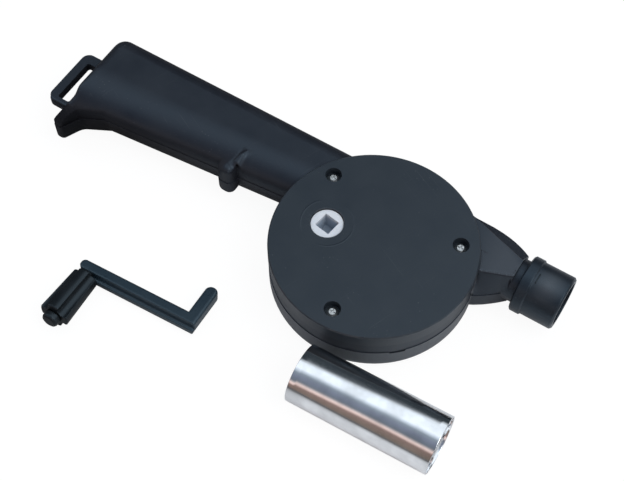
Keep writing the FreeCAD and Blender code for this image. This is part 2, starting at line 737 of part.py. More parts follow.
collar = new_body("outlet_collar")
collar_length = size("collar_end") - size("collar_start")
ring_length = size("collar_ring_end") - size("collar_start")
turned(collar, "collar_sleeve", [
    (size("collar_bore"), 0), (size("collar_ring_radius") - 0.6, 0), (size("collar_ring_radius"), 0.6),
    (size("collar_ring_radius"), ring_length - 0.6), (size("collar_ring_radius") - 0.6, ring_length),
    (size("collar_radius"), ring_length), (size("collar_radius"), collar_length - 0.8),
    (size("collar_radius") - 0.8, collar_length), (size("collar_bore"), collar_length)])
collar.Placement = along_x(mm("collar_start"), NOZZLE_Y, PARTING)

tube = new_body("blow_tube")
turned(tube, "tube_wall", [
    (size("tube_bore"), 0), (size("tube_outer"), 0),
    (size("tube_outer"), size("tube_length")), (size("tube_bore"), size("tube_length"))])
tube_turn = math.radians(mm("tube_turn"))
half_tube = mm("tube_length") / 2
tube.Placement = along_x(mm("tube_middle_x") - half_tube * math.cos(tube_turn),
                         mm("tube_middle_y") - half_tube * math.sin(tube_turn),
                         mm("tube_outer"), mm("tube_turn"))


# Bearings, shaft and pins


def plain_bush(label, low, high):
    """Sintered bush about the drum's axis."""
    bush = new_body(label)
    bore = size("shaft_radius") + size("running_gap")
    chamfer = 0.3
    turned(bush, label + "_wall", [
        (bore, low), (size("bush_radius"), low), (size("bush_radius"), high - chamfer),
        (size("bush_radius") - chamfer, high), (bore, high)])


plain_bush("rear_bush", BUSH_FOOT, size("fan_foot") + 1.0)
plain_bush("front_bush", size("fan_back") + 0.5, size("deck_top"))

SHAFT_FOOT = 1.5
SHAFT_TOP = 24.6
SHAFT_BEVEL = 0.4
shaft = new_body("impeller_shaft")
turned(shaft, "shaft_rod", [
    (0, SHAFT_FOOT), (size("shaft_radius") - SHAFT_BEVEL, SHAFT_FOOT),
    (size("shaft_radius"), SHAFT_FOOT + SHAFT_BEVEL),
    (size("shaft_radius"), SHAFT_TOP - SHAFT_BEVEL),
    (size("shaft_radius") - SHAFT_BEVEL, SHAFT_TOP), (0, SHAFT_TOP)])

pin = new_body("idler_pin")
pin_top = under - 0.2
turned(pin, "pin_rod", [
    (0, PIN_FOOT), (size("shaft_radius"), PIN_FOOT), (size("shaft_radius"), pin_top - 0.9),
    (size("shaft_radius") - 0.5, pin_top - 0.9), (size("shaft_radius") - 0.5, pin_top - 0.5),
    (size("shaft_radius"), pin_top - 0.5), (size("shaft_radius") - 0.3, pin_top), (0, pin_top)])
pin.Placement = FreeCAD.Placement(V(IDLER_X, IDLER_Y, 0), FreeCAD.Rotation())

clip = new_body("idler_clip")
turned(clip, "clip_ring", [
    (size("shaft_radius") - 0.5, pin_top - 0.9), (3.4, pin_top - 0.9),
    (3.4, pin_top - 0.5), (size("shaft_radius") - 0.5, pin_top - 0.5)])
mouth = new_sketch(clip, "clip_mouth", lift=pin_top)
draw_polygon(mouth, [(0, -1.3), (5.0, -1.3), (5.0, 1.3), (0, 1.3)])
pocketed(clip, "clip_opening", mouth, 2.0)
clip.Placement = pin.Placement


# Gears: involute flanks, each drawn as an arc through three points of the curve


BACKLASH = 0.10


def flank_point(base, radius, start):
    """Point of the involute of a base circle, at a radius, with its root at angle start."""
    reach = max(radius, base)
    roll = math.sqrt((reach / base) ** 2 - 1)
    angle = start + roll - math.atan(roll)
    return V(radius * math.cos(angle), radius * math.sin(angle), 0)


def gear_outline(teeth, phase):
    """Closed outline of a spur gear whose first tooth points along phase, in degrees."""
    module = mm("gear_module")
    pitch = module * teeth / 2
    base = pitch * math.cos(math.radians(20))
    tip = pitch + 0.95 * module
    root = pitch - 1.2 * module
    pressure = math.tan(math.radians(20)) - math.radians(20)
    half_tooth = math.pi / (2 * teeth) + pressure - BACKLASH / 2 / pitch
    low = max(base, root)
    middle = (low + tip) / 2
    rising = [flank_point(base, radius, -half_tooth) for radius in (root, low, middle, tip)]
    falling = [V(point.x, -point.y, 0) for point in reversed(rising)]
    edges = []
    for tooth in range(int(teeth)):
        turn = FreeCAD.Rotation(UP, phase + 360.0 * tooth / teeth)
        following = FreeCAD.Rotation(UP, phase + 360.0 * (tooth + 1) / teeth)
        up = [turn.multVec(point) for point in rising]
        down = [turn.multVec(point) for point in falling]
        crown = turn.multVec(V(tip, 0, 0))
        bottom = FreeCAD.Rotation(UP, 180.0 / teeth).multVec(turn.multVec(V(root, 0, 0)))
        if low > root:
            edges.append(Part.makeLine(up[0], up[1]))
        edges.append(Part.Arc(up[1], up[2], up[3]).toShape())
        edges.append(Part.Arc(up[3], crown, down[0]).toShape())
        edges.append(Part.Arc(down[0], down[1], down[2]).toShape())
        if low > root:
            edges.append(Part.makeLine(down[2], down[3]))
        edges.append(Part.Arc(down[-1], bottom, following.multVec(rising[0])).toShape())
    return Part.Wire(edges)


def gear_wheel(teeth, phase, low, high):
    """Toothed disc about the local Z axis."""
    face = Part.Face(gear_outline(teeth, phase))
    face.translate(V(0, 0, low))
    return face.extrude(V(0, 0, high - low))


def direction(x0, y0, x1, y1):
    return math.degrees(math.atan2(y1 - y0, x1 - x0))


# A tooth of each driving gear points at the next axis, where the driven gear has a gap.
to_idler = direction(DRIVE_X, DRIVE_Y, IDLER_X, IDLER_Y)
to_fan = direction(IDLER_X, IDLER_Y, 0, 0)
small_teeth = mm("idler_small_teeth")
fan_teeth = mm("fan_teeth")
small_phase = to_idler + 180 + 180 / small_teeth
fan_phase = to_fan + 180 + 180 / fan_teeth
LOWER_GEARS = (20.5, 24.3)
UPPER_GEARS = (25.0, 28.3)

hub_top = mm("total_height") - mm("hub_recess")
drive = united([
    gear_wheel(mm("drive_teeth"), to_idler, *UPPER_GEARS),
    cylinder(mm("hub_radius"), 20.3, hub_top),
    cylinder(mm("journal_radius"), 17.8, 21.0)])
side = mm("socket_side") / 2
socket = box((-side, -side, hub_top - mm("socket_depth")), (side, side, hub_top + 1.0))
socket.rotate(V(0, 0, 0), UP, mm("socket_turn"))
solid_node("drive_gear", drive.cut(socket),
           FreeCAD.Placement(V(DRIVE_X, DRIVE_Y, 0), FreeCAD.Rotation()))

idler = united([
    gear_wheel(mm("idler_large_teeth"), to_fan, *LOWER_GEARS),
    gear_wheel(small_teeth, small_phase, LOWER_GEARS[1] - 0.1, UPPER_GEARS[1] - 0.1)])
idler = idler.cut(cylinder(mm("shaft_radius") + mm("running_gap"), 10.0, 40.0))
solid_node("idler_gear", idler, pin.Placement)

pinion = gear_wheel(fan_teeth, fan_phase, 20.2, LOWER_GEARS[1])
solid_node("impeller_pinion", pinion.cut(cylinder(mm("shaft_radius"), 10.0, 40.0)))


# Fan wheel with straight radial blades, and the washers at its two ends


fan = new_body("impeller")
plate_low = size("fan_back") - size("fan_plate")
hub = 6.0
turned(fan, "fan_disc", [
    (size("shaft_radius"), size("fan_foot") + 1.6), (hub, size("fan_foot") + 1.6), (hub, plate_low),
    (size("fan_radius"), plate_low), (size("fan_radius"), size("fan_back")),
    (size("shaft_radius"), size("fan_back"))])
blade_sketch = new_sketch(fan, "blade_outline", lift=plate_low + 0.2)
half_blade = size("blade_thickness") / 2
draw_polygon(blade_sketch, [
    (13.0, -half_blade), (size("fan_radius") - 0.3, -half_blade),
    (size("fan_radius") - 0.3, half_blade), (13.0, half_blade)])
blade = padded(fan, "fan_blade", blade_sketch, plate_low - size("fan_foot") + 0.2, reverse=True)
polar(fan, "fan_blades", blade, mm("blade_count"))


def washer(low, high):
    outer = cylinder(4.4, low, high)
    return outer.cut(cylinder(mm("shaft_radius") + mm("running_gap"), low - 1, high + 1))


solid_node("thrust_washers", Part.makeCompound([
    washer(5.3, 5.7), washer(mm("fan_back") + 0.05, mm("fan_back") + 0.4)]))


# Crank, lying on its side: bar along X, peg towards +Y and grip towards -Y in its own frame


half_bar = size("bar_width") / 2
half_throw = size("crank_throw") / 2
GRIP_GAP = 0.4
LEDGE_STEP = 1.6
LEDGE_HEIGHT = 2.6


def crank_place():
    """Lies the crank on the surface: it rests on its grip's near end and on the peg's nose."""
    grip_reach = half_bar.value + GRIP_GAP + 0.5
    peg_reach = half_bar.value + mm("peg_length") - 1.0
    drop = mm("grip_radius_near") - half_bar.value
    tilt = -math.atan(drop / (grip_reach + peg_reach))
    height = mm("grip_radius_near") * math.cos(tilt) + grip_reach * math.sin(tilt)
    lean = FreeCAD.Rotation(V(1, 0, 0), math.degrees(tilt))
    turn = FreeCAD.Rotation(UP, mm("crank_turn"))
    return FreeCAD.Placement(V(mm("crank_x"), mm("crank_y"), height), turn.multiply(lean))


CRANK = crank_place()


def along_grip(reach):
    """Placement that points a piece built about Z along the grip, from reach past the bar."""
    lay = FreeCAD.Rotation(V(1, 0, 0), 90)
    return CRANK.multiply(FreeCAD.Placement(V(-half_throw.value, -reach, 0), lay))


def round_edges(body, name, test, radius):
    """Fillet on the body's edges whose middle point passes the test."""
    doc.recompute()
    base = body.Tip
    chosen = ["Edge%d" % (i + 1) for i, edge in enumerate(base.Shape.Edges)
              if test(edge.valueAt((edge.FirstParameter + edge.LastParameter) / 2))]
    feature = body.newObject("PartDesign::Fillet", name)
    feature.Base = (base, chosen)
    bind(feature, "Radius", radius)
    body.Tip = feature
    return feature


crank = new_body("crank_arm")
peg_tip = half_bar + size("peg_length")
peg_inner = half_throw - half_bar
arm_end = half_throw + half_bar
grip_end = arm_end + size("bar_overhang")
bar_sketch = new_sketch(crank, "bar_outline")
draw_polygon(bar_sketch, [
    (-grip_end, -half_bar), (arm_end, -half_bar), (arm_end, peg_tip),
    (peg_inner, peg_tip), (peg_inner, half_bar), (-grip_end, half_bar)])
padded(crank, "crank_bar", bar_sketch, size("bar_width"), midplane=True)
ledge_sketch = new_sketch(crank, "ledge_outline", lift=half_bar)
draw_polygon(ledge_sketch, [
    (-grip_end - 1.0, -half_bar - 1.0), (arm_end + 1.0, -half_bar - 1.0),
    (arm_end + 1.0, -half_bar + LEDGE_STEP), (-grip_end - 1.0, -half_bar + LEDGE_STEP)])
pocketed(crank, "crank_ledge", ledge_sketch, size("bar_width") - LEDGE_HEIGHT)
hole_sketch = new_sketch(crank, "grip_pin_circle", "XZ_Plane")
draw_circle(hole_sketch, -half_throw, 0, size("grip_pin_radius"))
pocketed(crank, "grip_pin_hole", hole_sketch, half_bar + 1.0, midplane=False, reverse=True)
tip_y = mm("peg_length") + half_bar.value
round_edges(crank, "peg_nose", lambda p: p.y > tip_y - 0.01 and abs(p.z) < 0.01, half_bar - 0.1)
round_edges(crank, "peg_rims", lambda p: p.y > half_bar.value + 1 and abs(abs(p.z) - half_bar.value) < 0.01, 1.1)
far_corner = -grip_end.value
round_edges(crank, "bar_corners", lambda p: p.x < far_corner + 0.01 and abs(p.y) > 1.5, 2.0)
crank.Placement = CRANK

HEAD_ROUND = 1.2
grip_pin = new_body("grip_pin")
grip_start = half_bar.value + GRIP_GAP
pin_reach = size("grip_length") + 2 * GRIP_GAP + half_bar
head_far = pin_reach + size("pin_head_length")
turned(grip_pin, "pin_turning", [
    (0, 0), (size("grip_pin_radius"), 0), (size("grip_pin_radius"), pin_reach),
    (size("pin_head_radius"), pin_reach), (size("pin_head_radius"), head_far - HEAD_ROUND),
    (size("pin_head_radius") - HEAD_ROUND / 3, head_far - HEAD_ROUND / 3),
    (size("pin_head_radius") - HEAD_ROUND, head_far), (0, head_far)])
grip_pin.Placement = along_grip(0.0)

grip = new_body("crank_grip")
grip_bore = size("grip_pin_radius") + size("running_gap")
grip_long = size("grip_length")
turned(grip, "grip_body", [
    (grip_bore, 0), (size("grip_radius_near") - 0.5, 0), (size("grip_radius_near"), 0.5),
    (size("grip_radius_far"), grip_long - 0.5), (size("grip_radius_far") - 0.5, grip_long),
    (grip_bore, grip_long)])
flute_sketch = new_sketch(grip, "flute_circle", lift=grip_long + 1.0)
diagonal = math.sqrt(0.5)
flute_reach = (size("grip_radius_far") + 0.4) * diagonal
draw_circle(flute_sketch, flute_reach, flute_reach, 2.9)
flute = pocketed(grip, "grip_flute", flute_sketch, grip_long + 2.0)
polar(grip, "grip_flutes", flute, 4)
grip.Placement = along_grip(grip_start)


# Every sub-part is checked before any file is written


doc.recompute()
for item in doc.Objects:
    if "Invalid" in item.State or "Error" in item.State:
        raise RuntimeError("failed feature: %s in %s" % (item.Name, item.State))
for feature in NODES:
    if feature.Shape.isNull() or not feature.Shape.isValid():
        raise RuntimeError("bad shape: " + feature.Label)

os.makedirs("parts", exist_ok=True)
for feature in NODES:
    bounds = feature.Shape.BoundBox
    print("%-16s %9.1f mm3, x %.1f to %.1f, y %.1f to %.1f, z %.1f to %.1f" % (
        feature.Label, feature.Shape.Volume, bounds.XMin, bounds.XMax,
        bounds.YMin, bounds.YMax, bounds.ZMin, bounds.ZMax))
    feature.Shape.exportStep("parts/%s.step" % feature.Label)
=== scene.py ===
# %% [markdown]
# # Hand crank fan, finished for a studio picture
# The model comes in as a fixed frame: two moulded shells, a gear cover, a collar, a loose
# crank and a loose steel tube, each already at its real size and place. This lesson gives
# every one of them the finish it has on the real fan, and adds the few forms that are
# easier to make as surfaces than as solids. Nothing of the frame is moved.

# %% Load the frame
import json
import math

import bpy
import numpy as np
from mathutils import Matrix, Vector
from mathutils.bvhtree import BVHTree


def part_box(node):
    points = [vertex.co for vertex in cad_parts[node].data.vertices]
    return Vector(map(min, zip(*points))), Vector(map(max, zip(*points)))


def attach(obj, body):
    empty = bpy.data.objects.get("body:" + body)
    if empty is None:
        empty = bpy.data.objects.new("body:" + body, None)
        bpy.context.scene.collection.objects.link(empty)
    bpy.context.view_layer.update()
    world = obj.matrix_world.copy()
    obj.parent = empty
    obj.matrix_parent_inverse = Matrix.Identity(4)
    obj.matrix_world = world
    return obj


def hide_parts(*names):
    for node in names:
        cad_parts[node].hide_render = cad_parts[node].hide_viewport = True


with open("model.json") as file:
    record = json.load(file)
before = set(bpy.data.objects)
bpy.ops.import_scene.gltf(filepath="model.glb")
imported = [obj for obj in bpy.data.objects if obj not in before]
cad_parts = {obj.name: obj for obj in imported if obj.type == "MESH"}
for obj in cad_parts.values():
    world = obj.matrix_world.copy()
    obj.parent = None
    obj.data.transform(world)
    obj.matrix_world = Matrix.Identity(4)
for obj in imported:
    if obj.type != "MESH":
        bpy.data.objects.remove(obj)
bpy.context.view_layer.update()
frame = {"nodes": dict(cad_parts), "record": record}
scene = bpy.context.scene

# %% [markdown]
# ## Sizes that the finishes need
# A finish often depends on where it is: a rim is rubbed, a ring is left by the mould. The
# places below are read from the frame where it holds them, so they follow the model.

# %% Places on the fan
MM = 0.001
face_low, face_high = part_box("gear_cover")
DRUM_RADIUS = (face_high.x - face_low.x) / 2
FACE_HEIGHT = face_high.z
hub_low, hub_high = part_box("drive_gear")
HUB_TOP = hub_high.z
HUB = Vector(((hub_low.x + hub_high.x) / 2, (hub_low.y + hub_high.y) / 2, FACE_HEIGHT))
collar_low, collar_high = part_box("outlet_collar")
COLLAR_Y = (collar_low.y + collar_high.y) / 2
COLLAR_Z = (collar_low.z + collar_high.z) / 2
print("cover radius", round(DRUM_RADIUS, 4), "hub at", [round(v, 4) for v in HUB])

# %% [markdown]
# ## The camera
# The round cover looks like an ellipse in the photo, and an ellipse tells how far a camera
# stands over a disc: 59 to 60 degrees above the table, a little to the right of the drum.
# The camera is set by that angle, by its distance in drum radii and by a long lens, so
# the same three numbers also give its place in the frame.

# %% Camera
IMAGE_WIDTH = 624
SENSOR = 36.0
LENS_PIXELS = 1200.0
AZIMUTH = math.radians(32.2)
ELEVATION = math.radians(59.5)
DISTANCE = 11.24 * DRUM_RADIUS
AIM_LEFT = -0.58 * DRUM_RADIUS
AIM_UP = 0.02 * DRUM_RADIUS

target = Vector((AIM_LEFT * math.cos(AZIMUTH) - AIM_UP * math.sin(AZIMUTH),
                 AIM_LEFT * math.sin(AZIMUTH) + AIM_UP * math.cos(AZIMUTH), FACE_HEIGHT))
gaze = Vector((-math.cos(ELEVATION) * math.sin(AZIMUTH),
               math.cos(ELEVATION) * math.cos(AZIMUTH), -math.sin(ELEVATION)))
lens = bpy.data.cameras.new("camera")
lens.sensor_width = SENSOR
lens.lens = LENS_PIXELS * SENSOR / IMAGE_WIDTH
lens.clip_start = 0.01
lens.clip_end = 20.0
camera = bpy.data.objects.new("camera", lens)
camera.location = target - DISTANCE * gaze
camera.rotation_mode = "QUATERNION"
camera.rotation_quaternion = gaze.to_track_quat("-Z", "Y")
scene.collection.objects.link(camera)
scene.camera = camera
scene.view_settings.view_transform = "Standard"
print("lens", round(lens.lens, 2), "mm, distance", round(DISTANCE, 3), "m")

# %% [markdown]
# ## Node helpers
# A material in Blender is a graph, and a graph written out node by node is hard to read.
# So one helper adds a node and sets or joins its inputs, and each of the others stands for
# one common step: a place, a sum, a product of masks, a blend, a stretched range, a noise.
# The last two make a group that several materials share and place it in one of them.

# %% Helpers for node graphs


def add(tree, kind, inputs=None, **settings):
    """Adds a node of a kind, sets its settings, then its inputs by name or number."""
    node = tree.nodes.new(kind)
    for name, value in settings.items():
        setattr(node, name, value)
    for key, value in (inputs or {}).items():
        if isinstance(value, bpy.types.NodeSocket):
            tree.links.new(value, node.inputs[key])
        else:
            node.inputs[key].default_value = value
    return node


def sum_of(tree, operation, *values, clamp=False):
    """One step of arithmetic on numbers or sockets; gives the result's socket."""
    return add(tree, "ShaderNodeMath", dict(enumerate(values)),
               operation=operation, use_clamp=clamp).outputs[0]


def product(tree, first, *others):
    """Masks multiplied: the result is one only where all of them are."""
    for other in others:
        first = sum_of(tree, "MULTIPLY", first, other)
    return first


def place_of(tree):
    """Where the shaded point is, in the frame's metres."""
    return add(tree, "ShaderNodeTexCoord").outputs["Object"]


def parts_of(tree, vector):
    """The x, y and z of a vector."""
    return add(tree, "ShaderNodeSeparateXYZ", {0: vector}).outputs


def distance(tree, place, centre):
    """How far a place is from a centre."""
    return add(tree, "ShaderNodeVectorMath", {0: place, 1: centre}, operation="DISTANCE").outputs["Value"]


def noise(tree, place, scale, detail):
    """A cloud of values about one half; scale is its number of waves to the metre."""
    return add(tree, "ShaderNodeTexNoise", {"Vector": place, "Scale": scale, "Detail": detail}).outputs[0]


def drawn_out(tree, place, turn, stretch):
    """A place turned about Z and stretched, so that a noise on it becomes lines."""
    turned = add(tree, "ShaderNodeVectorRotate", {"Vector": place, "Angle": turn}, rotation_type="Z_AXIS")
    return add(tree, "ShaderNodeMapping", {"Vector": turned.outputs[0], "Scale": stretch}).outputs[0]


def between(tree, factor, low, high):
    """Blend of two colours by a mask."""
    node = add(tree, "ShaderNodeMix", {0: factor, 6: low, 7: high}, data_type="RGBA")
    return node.outputs[2]


def spread(tree, value, low, high, to_low=0.0, to_high=1.0):
    """Stretches a range of values onto another and holds it there."""
    inputs = {0: value, 1: low, 2: high, 3: to_low, 4: to_high}
    return add(tree, "ShaderNodeMapRange", inputs).outputs[0]


def new_group(name, inputs, outputs, directions=()):
    """An empty node group; outputs are numbers, apart from those named in directions."""
    group = bpy.data.node_groups.new(name, "ShaderNodeTree")
    for label, value in inputs:
        kind = "NodeSocketVector" if isinstance(value, tuple) else "NodeSocketFloat"
        socket = group.interface.new_socket(label, in_out="INPUT", socket_type=kind)
        socket.default_value = value
    for label in outputs:
        kind = "NodeSocketVector" if label in directions else "NodeSocketFloat"
        group.interface.new_socket(label, in_out="OUTPUT", socket_type=kind)
    start = group.nodes.new("NodeGroupInput")
    end = group.nodes.new("NodeGroupOutput")
    return group, start.outputs, end


def use_group(tree, group, **inputs):
    """Places a group in a material with its own values; underscores stand for spaces."""
    node = add(tree, "ShaderNodeGroup", node_tree=group)
    for label, value in inputs.items():
        socket = node.inputs[label.replace("_", " ")]
        if isinstance(value, bpy.types.NodeSocket):
            tree.links.new(value, socket)
        else:
            socket.default_value = value
    return node.outputs


helpers = (add, sum_of, product, place_of, parts_of, distance, noise, drawn_out, between, spread)
print("helpers for graphs:", [helper.__name__ for helper in (*helpers, new_group, use_group)])

# %% [markdown]
# ## Floor, sky and light
# The photo is a plain catalogue picture: white paper, one large soft light above and
# behind, a grey room in front. Polished steel shows all of that as bands, and black
# plastic is seen only by it, so the sky is painted as bands: an angle over the fan from
# the back (minus) to the front (plus) with a brightness for each. A lamp could give the
# same light, but its edges would show in the tube.
#
# The tube in the photo shows its bands slanted, and a dark wall behind them with a slant
# of its own. So each angle is shifted by a slope times the direction's x, within the span
# of x that the tube mirrors. White paper is what the camera itself sees past the table.

# %% Sky
SKY_BANDS = (
    (-180, (0.50, 0.50, 0.50)), (-60, (0.95, 1.04, 1.14)), (-36, (1.00, 1.10, 1.21)),
    (-4, (1.00, 1.10, 1.21)), (5, (0.60, 0.69, 0.80)), (14, (0.25, 0.30, 0.36)),
    (28, (0.20, 0.23, 0.31)), (46, (0.15, 0.18, 0.22)), (53, (0.62, 0.54, 0.54)),
    (56, (0.98, 0.79, 0.75)), (61, (0.80, 0.60, 0.56)), (66, (0.26, 0.18, 0.16)),
    (92, (0.19, 0.16, 0.14)), (180, (0.45, 0.45, 0.45)))
WALL_DARK = (0.035, 0.045, 0.055, 1.0)
WALL_EDGE = math.radians(-39.0)
WALL_SLANT = -6.0
WALL_SOFT = math.radians(7.0)
BAND_SLANT = 2.2
BAND_TURN = math.radians(-6.5)
SLANT_FROM = -0.17
SLANT_SPAN = (-0.22, -0.10)

world = bpy.data.worlds.new("studio")
world.use_nodes = True
scene.world = world
sky = world.node_tree
sky.nodes.clear()
where = add(sky, "ShaderNodeTexCoord").outputs["Generated"]
sideways, backward, upward = parts_of(sky, where)
angle = sum_of(sky, "ARCTAN2", sum_of(sky, "MULTIPLY", backward, -1.0), upward)
aside = sum_of(sky, "MAXIMUM", sum_of(sky, "MINIMUM", sideways, SLANT_SPAN[1]), SLANT_SPAN[0])
aside = sum_of(sky, "SUBTRACT", aside, SLANT_FROM)
leaning = sum_of(sky, "ADD", angle, sum_of(sky, "MULTIPLY_ADD", aside, BAND_SLANT, BAND_TURN))
ramp = add(sky, "ShaderNodeValToRGB", {0: spread(sky, leaning, -math.pi, math.pi)})
stops = ramp.color_ramp.elements
for band, (degrees, colour) in enumerate(SKY_BANDS):
    stop = stops[0] if band == 0 else stops.new((degrees + 180) / 360)
    stop.position = (degrees + 180) / 360
    stop.color = (*colour, 1.0)
stops.remove(stops[-1])
wall_end = sum_of(sky, "MULTIPLY_ADD", aside, WALL_SLANT, WALL_EDGE)
open_sky = spread(sky, sum_of(sky, "SUBTRACT", angle, wall_end), -WALL_SOFT, WALL_SOFT)
bands = add(sky, "ShaderNodeBackground", {0: between(sky, open_sky, WALL_DARK, ramp.outputs[0])})
paper = add(sky, "ShaderNodeBackground", {0: (1.0, 1.0, 1.0, 1.0)})
seen = add(sky, "ShaderNodeLightPath").outputs["Is Camera Ray"]
both = add(sky, "ShaderNodeMixShader", {0: seen, 1: bands.outputs[0], 2: paper.outputs[0]})
add(sky, "ShaderNodeOutputWorld", {0: both.outputs[0]})
print(len(stops), "bands in the sky")

# %% [markdown]
# The paper on the table is a plain sheet. What the camera sees of it is mostly its own
# white, with a small share of real shading left in, so the fan still stands on its shadow.
# Every other ray meets a painted pool of light by the tube that fades to painted shade
# further out, since that is what the steel and the black plastic mirror in the photo.

# %% Floor
PAPER_HALF = 3.0
PAPER_OWN_WHITE = 0.88
PAPER_GLOW = 1.06
POOL_CENTRE = (0.075, -0.045, 0.0)
POOL_BRIGHT = 0.09
POOL_END = 0.22
POOL_LIGHT_COLOUR = (0.92, 0.90, 0.88, 1.0)
FAR_SHADE_COLOUR = (0.20, 0.185, 0.175, 1.0)

floor_mesh = bpy.data.meshes.new("paper")
corners = [(-PAPER_HALF, -PAPER_HALF), (PAPER_HALF, -PAPER_HALF),
           (PAPER_HALF, PAPER_HALF), (-PAPER_HALF, PAPER_HALF)]
floor_mesh.from_pydata([(x, y, 0.0) for x, y in corners], [], [(0, 1, 2, 3)])
floor = bpy.data.objects.new("paper", floor_mesh)
scene.collection.objects.link(floor)
paper_material = bpy.data.materials.new("paper")
paper_material.use_nodes = True
tree = paper_material.node_tree
tree.nodes.clear()
path = add(tree, "ShaderNodeLightPath").outputs
from_pool = distance(tree, place_of(tree), POOL_CENTRE)
mirrored = sum_of(tree, "SUBTRACT", 1.0, path["Is Camera Ray"])
beyond = product(tree, spread(tree, from_pool, POOL_BRIGHT, POOL_END), mirrored)
# Painted light for every ray but the camera's: a pool of light by the tube, painted shade beyond.
pooled = between(tree, beyond, POOL_LIGHT_COLOUR, FAR_SHADE_COLOUR)
matt = add(tree, "ShaderNodeBsdfDiffuse", {0: pooled})
own = add(tree, "ShaderNodeEmission", {0: (1.0, 1.0, 1.0, 1.0), 1: PAPER_GLOW})
share = sum_of(tree, "MULTIPLY", path["Is Camera Ray"], PAPER_OWN_WHITE)
mixed = add(tree, "ShaderNodeMixShader", {0: share, 1: matt.outputs[0], 2: own.outputs[0]})
add(tree, "ShaderNodeOutputMaterial", {0: mixed.outputs[0]})
floor_mesh.materials.append(paper_material)
print("paper", 2 * PAPER_HALF, "m wide,", PAPER_OWN_WHITE, "of it its own white to the camera")

# %% [markdown]
# A wide, weak lamp stands to the right of the table. It lights the sides that face it and
# gives the white nylon and the screws some direct light. It is wide, so no hard shadow
# falls, and far enough to the side that the cover's flat face doesn't mirror it.

# %% Lamp
LAMP_WIDTH = 0.6
LAMP_WATTS = 3.0
LAMP_COLOUR = (0.97, 0.99, 1.0)
LAMP_PLACE = (0.60, -0.15, 0.85)
lamp_data = bpy.data.lights.new("overhead", "AREA")
lamp_data.shape = "RECTANGLE"
lamp_data.size = LAMP_WIDTH
lamp_data.size_y = LAMP_WIDTH
lamp_data.energy = LAMP_WATTS
lamp_data.color = LAMP_COLOUR
lamp = bpy.data.objects.new("overhead", lamp_data)
lamp.location = LAMP_PLACE
lamp.rotation_mode = "QUATERNION"
lamp.rotation_quaternion = (-lamp.location).to_track_quat("-Z", "Y")
scene.collection.objects.link(lamp)
print("lamp", LAMP_WATTS, "W,", round(lamp.location.length, 2), "m away")

# %% [markdown]
# ## Effects that several finishes share
# Each effect is one node group with named inputs, built once. It gives only numbers: a
# height for the bump or a mask for a blend. The shader itself stays in the material.

# %% [markdown]
# **Moulded grain.** The tool for a plastic shell is spark eroded, which leaves a fine even
# pebble on the part. Two noises make it: a fine one for the pebble and a broad one for the
# patches where the plastic cooled a little faster.

# %% Moulded grain
grain_group, given, result = new_group(
    "moulded_grain", [("Fineness", 1500.0), ("Patch Size", 70.0)], ["Height", "Patches"])
place = place_of(grain_group)
pebble = noise(grain_group, place, given[0], 2.0)
patch = noise(grain_group, place, given[1], 3.0)
grain_group.links.new(pebble, result.inputs[0])
grain_group.links.new(spread(grain_group, patch, 0.3, 0.7), result.inputs[1])

# %% [markdown]
# **Hairlines.** A fan that is used gets fine straight scratches. A noise that is stretched
# about eighty times along one way looks like them, and only its highest crests are kept.
# Two ways, turned against each other, are enough for the eye.

# %% Hairlines
HAIR_TURNS = (0.45, 1.95)
HAIR_STRETCH = (0.012, 1.0, 0.4)
HAIR_CREST = (0.70, 0.78)
HAIR_ZONE_SCALE = 35.0
hair_group, given, result = new_group("hairlines", [("Fineness", 2600.0), ("Amount", 0.5)], ["Mask"])
place = place_of(hair_group)
crests = []
for turn in HAIR_TURNS:
    scratch = noise(hair_group, drawn_out(hair_group, place, turn, HAIR_STRETCH), given[0], 1.0)
    crests.append(spread(hair_group, scratch, *HAIR_CREST))
lines = sum_of(hair_group, "MAXIMUM", *crests)
zones = spread(hair_group, noise(hair_group, place, HAIR_ZONE_SCALE, 1.0), 0.45, 0.62)
hair_group.links.new(product(hair_group, lines, zones, given[1]), result.inputs[0])

# %% [markdown]
# **A worn rim.** An edge that stands out is polished by hands and tables. Here the edge is
# a circle that is known exactly, so the mask is a band about that radius, broken up by a
# noise. It needs no measuring of the mesh and works on every part with a round rim.

# %% Ring mask
ring_inputs = [("Centre", (0.0, 0.0, 0.0)), ("Radius", DRUM_RADIUS), ("Width", 0.0006)]
ring_group, given, result = new_group("ring_mask", ring_inputs, ["Mask"])
place = place_of(ring_group)
offset = add(ring_group, "ShaderNodeVectorMath", {0: place, 1: given[0]}, operation="SUBTRACT")
flat = add(ring_group, "ShaderNodeVectorMath", {0: offset.outputs[0], 1: (1.0, 1.0, 0.0)},
           operation="MULTIPLY")
reach = add(ring_group, "ShaderNodeVectorMath", {0: flat.outputs[0]}, operation="LENGTH").outputs["Value"]
off = sum_of(ring_group, "ABSOLUTE", sum_of(ring_group, "SUBTRACT", reach, given[1]))
near = sum_of(ring_group, "SUBTRACT", 1.0, sum_of(ring_group, "DIVIDE", off, given[2]), clamp=True)
ring_group.links.new(near, result.inputs[0])

# %% [markdown]
# **Dust.** A black part never looks black for long: specks of dust cling to it. The specks
# are the centres of small cells, thinned out by a broad noise.

# %% Dust
SPECK_EDGE = (0.14, 0.06)
DRIFT_SCALE = 55.0
dust_group, given, result = new_group("dust", [("Fineness", 420.0), ("Amount", 0.5)], ["Mask"])
place = place_of(dust_group)
cells = add(dust_group, "ShaderNodeTexVoronoi", {"Vector": place, "Scale": given[0]})
specks = spread(dust_group, cells.outputs["Distance"], *SPECK_EDGE)
drift = spread(dust_group, noise(dust_group, place, DRIFT_SCALE, 2.0), 0.52, 0.66)
dust_group.links.new(product(dust_group, specks, drift, given[1]), result.inputs[0])
print("shared effects:", [group.name for group in bpy.data.node_groups])

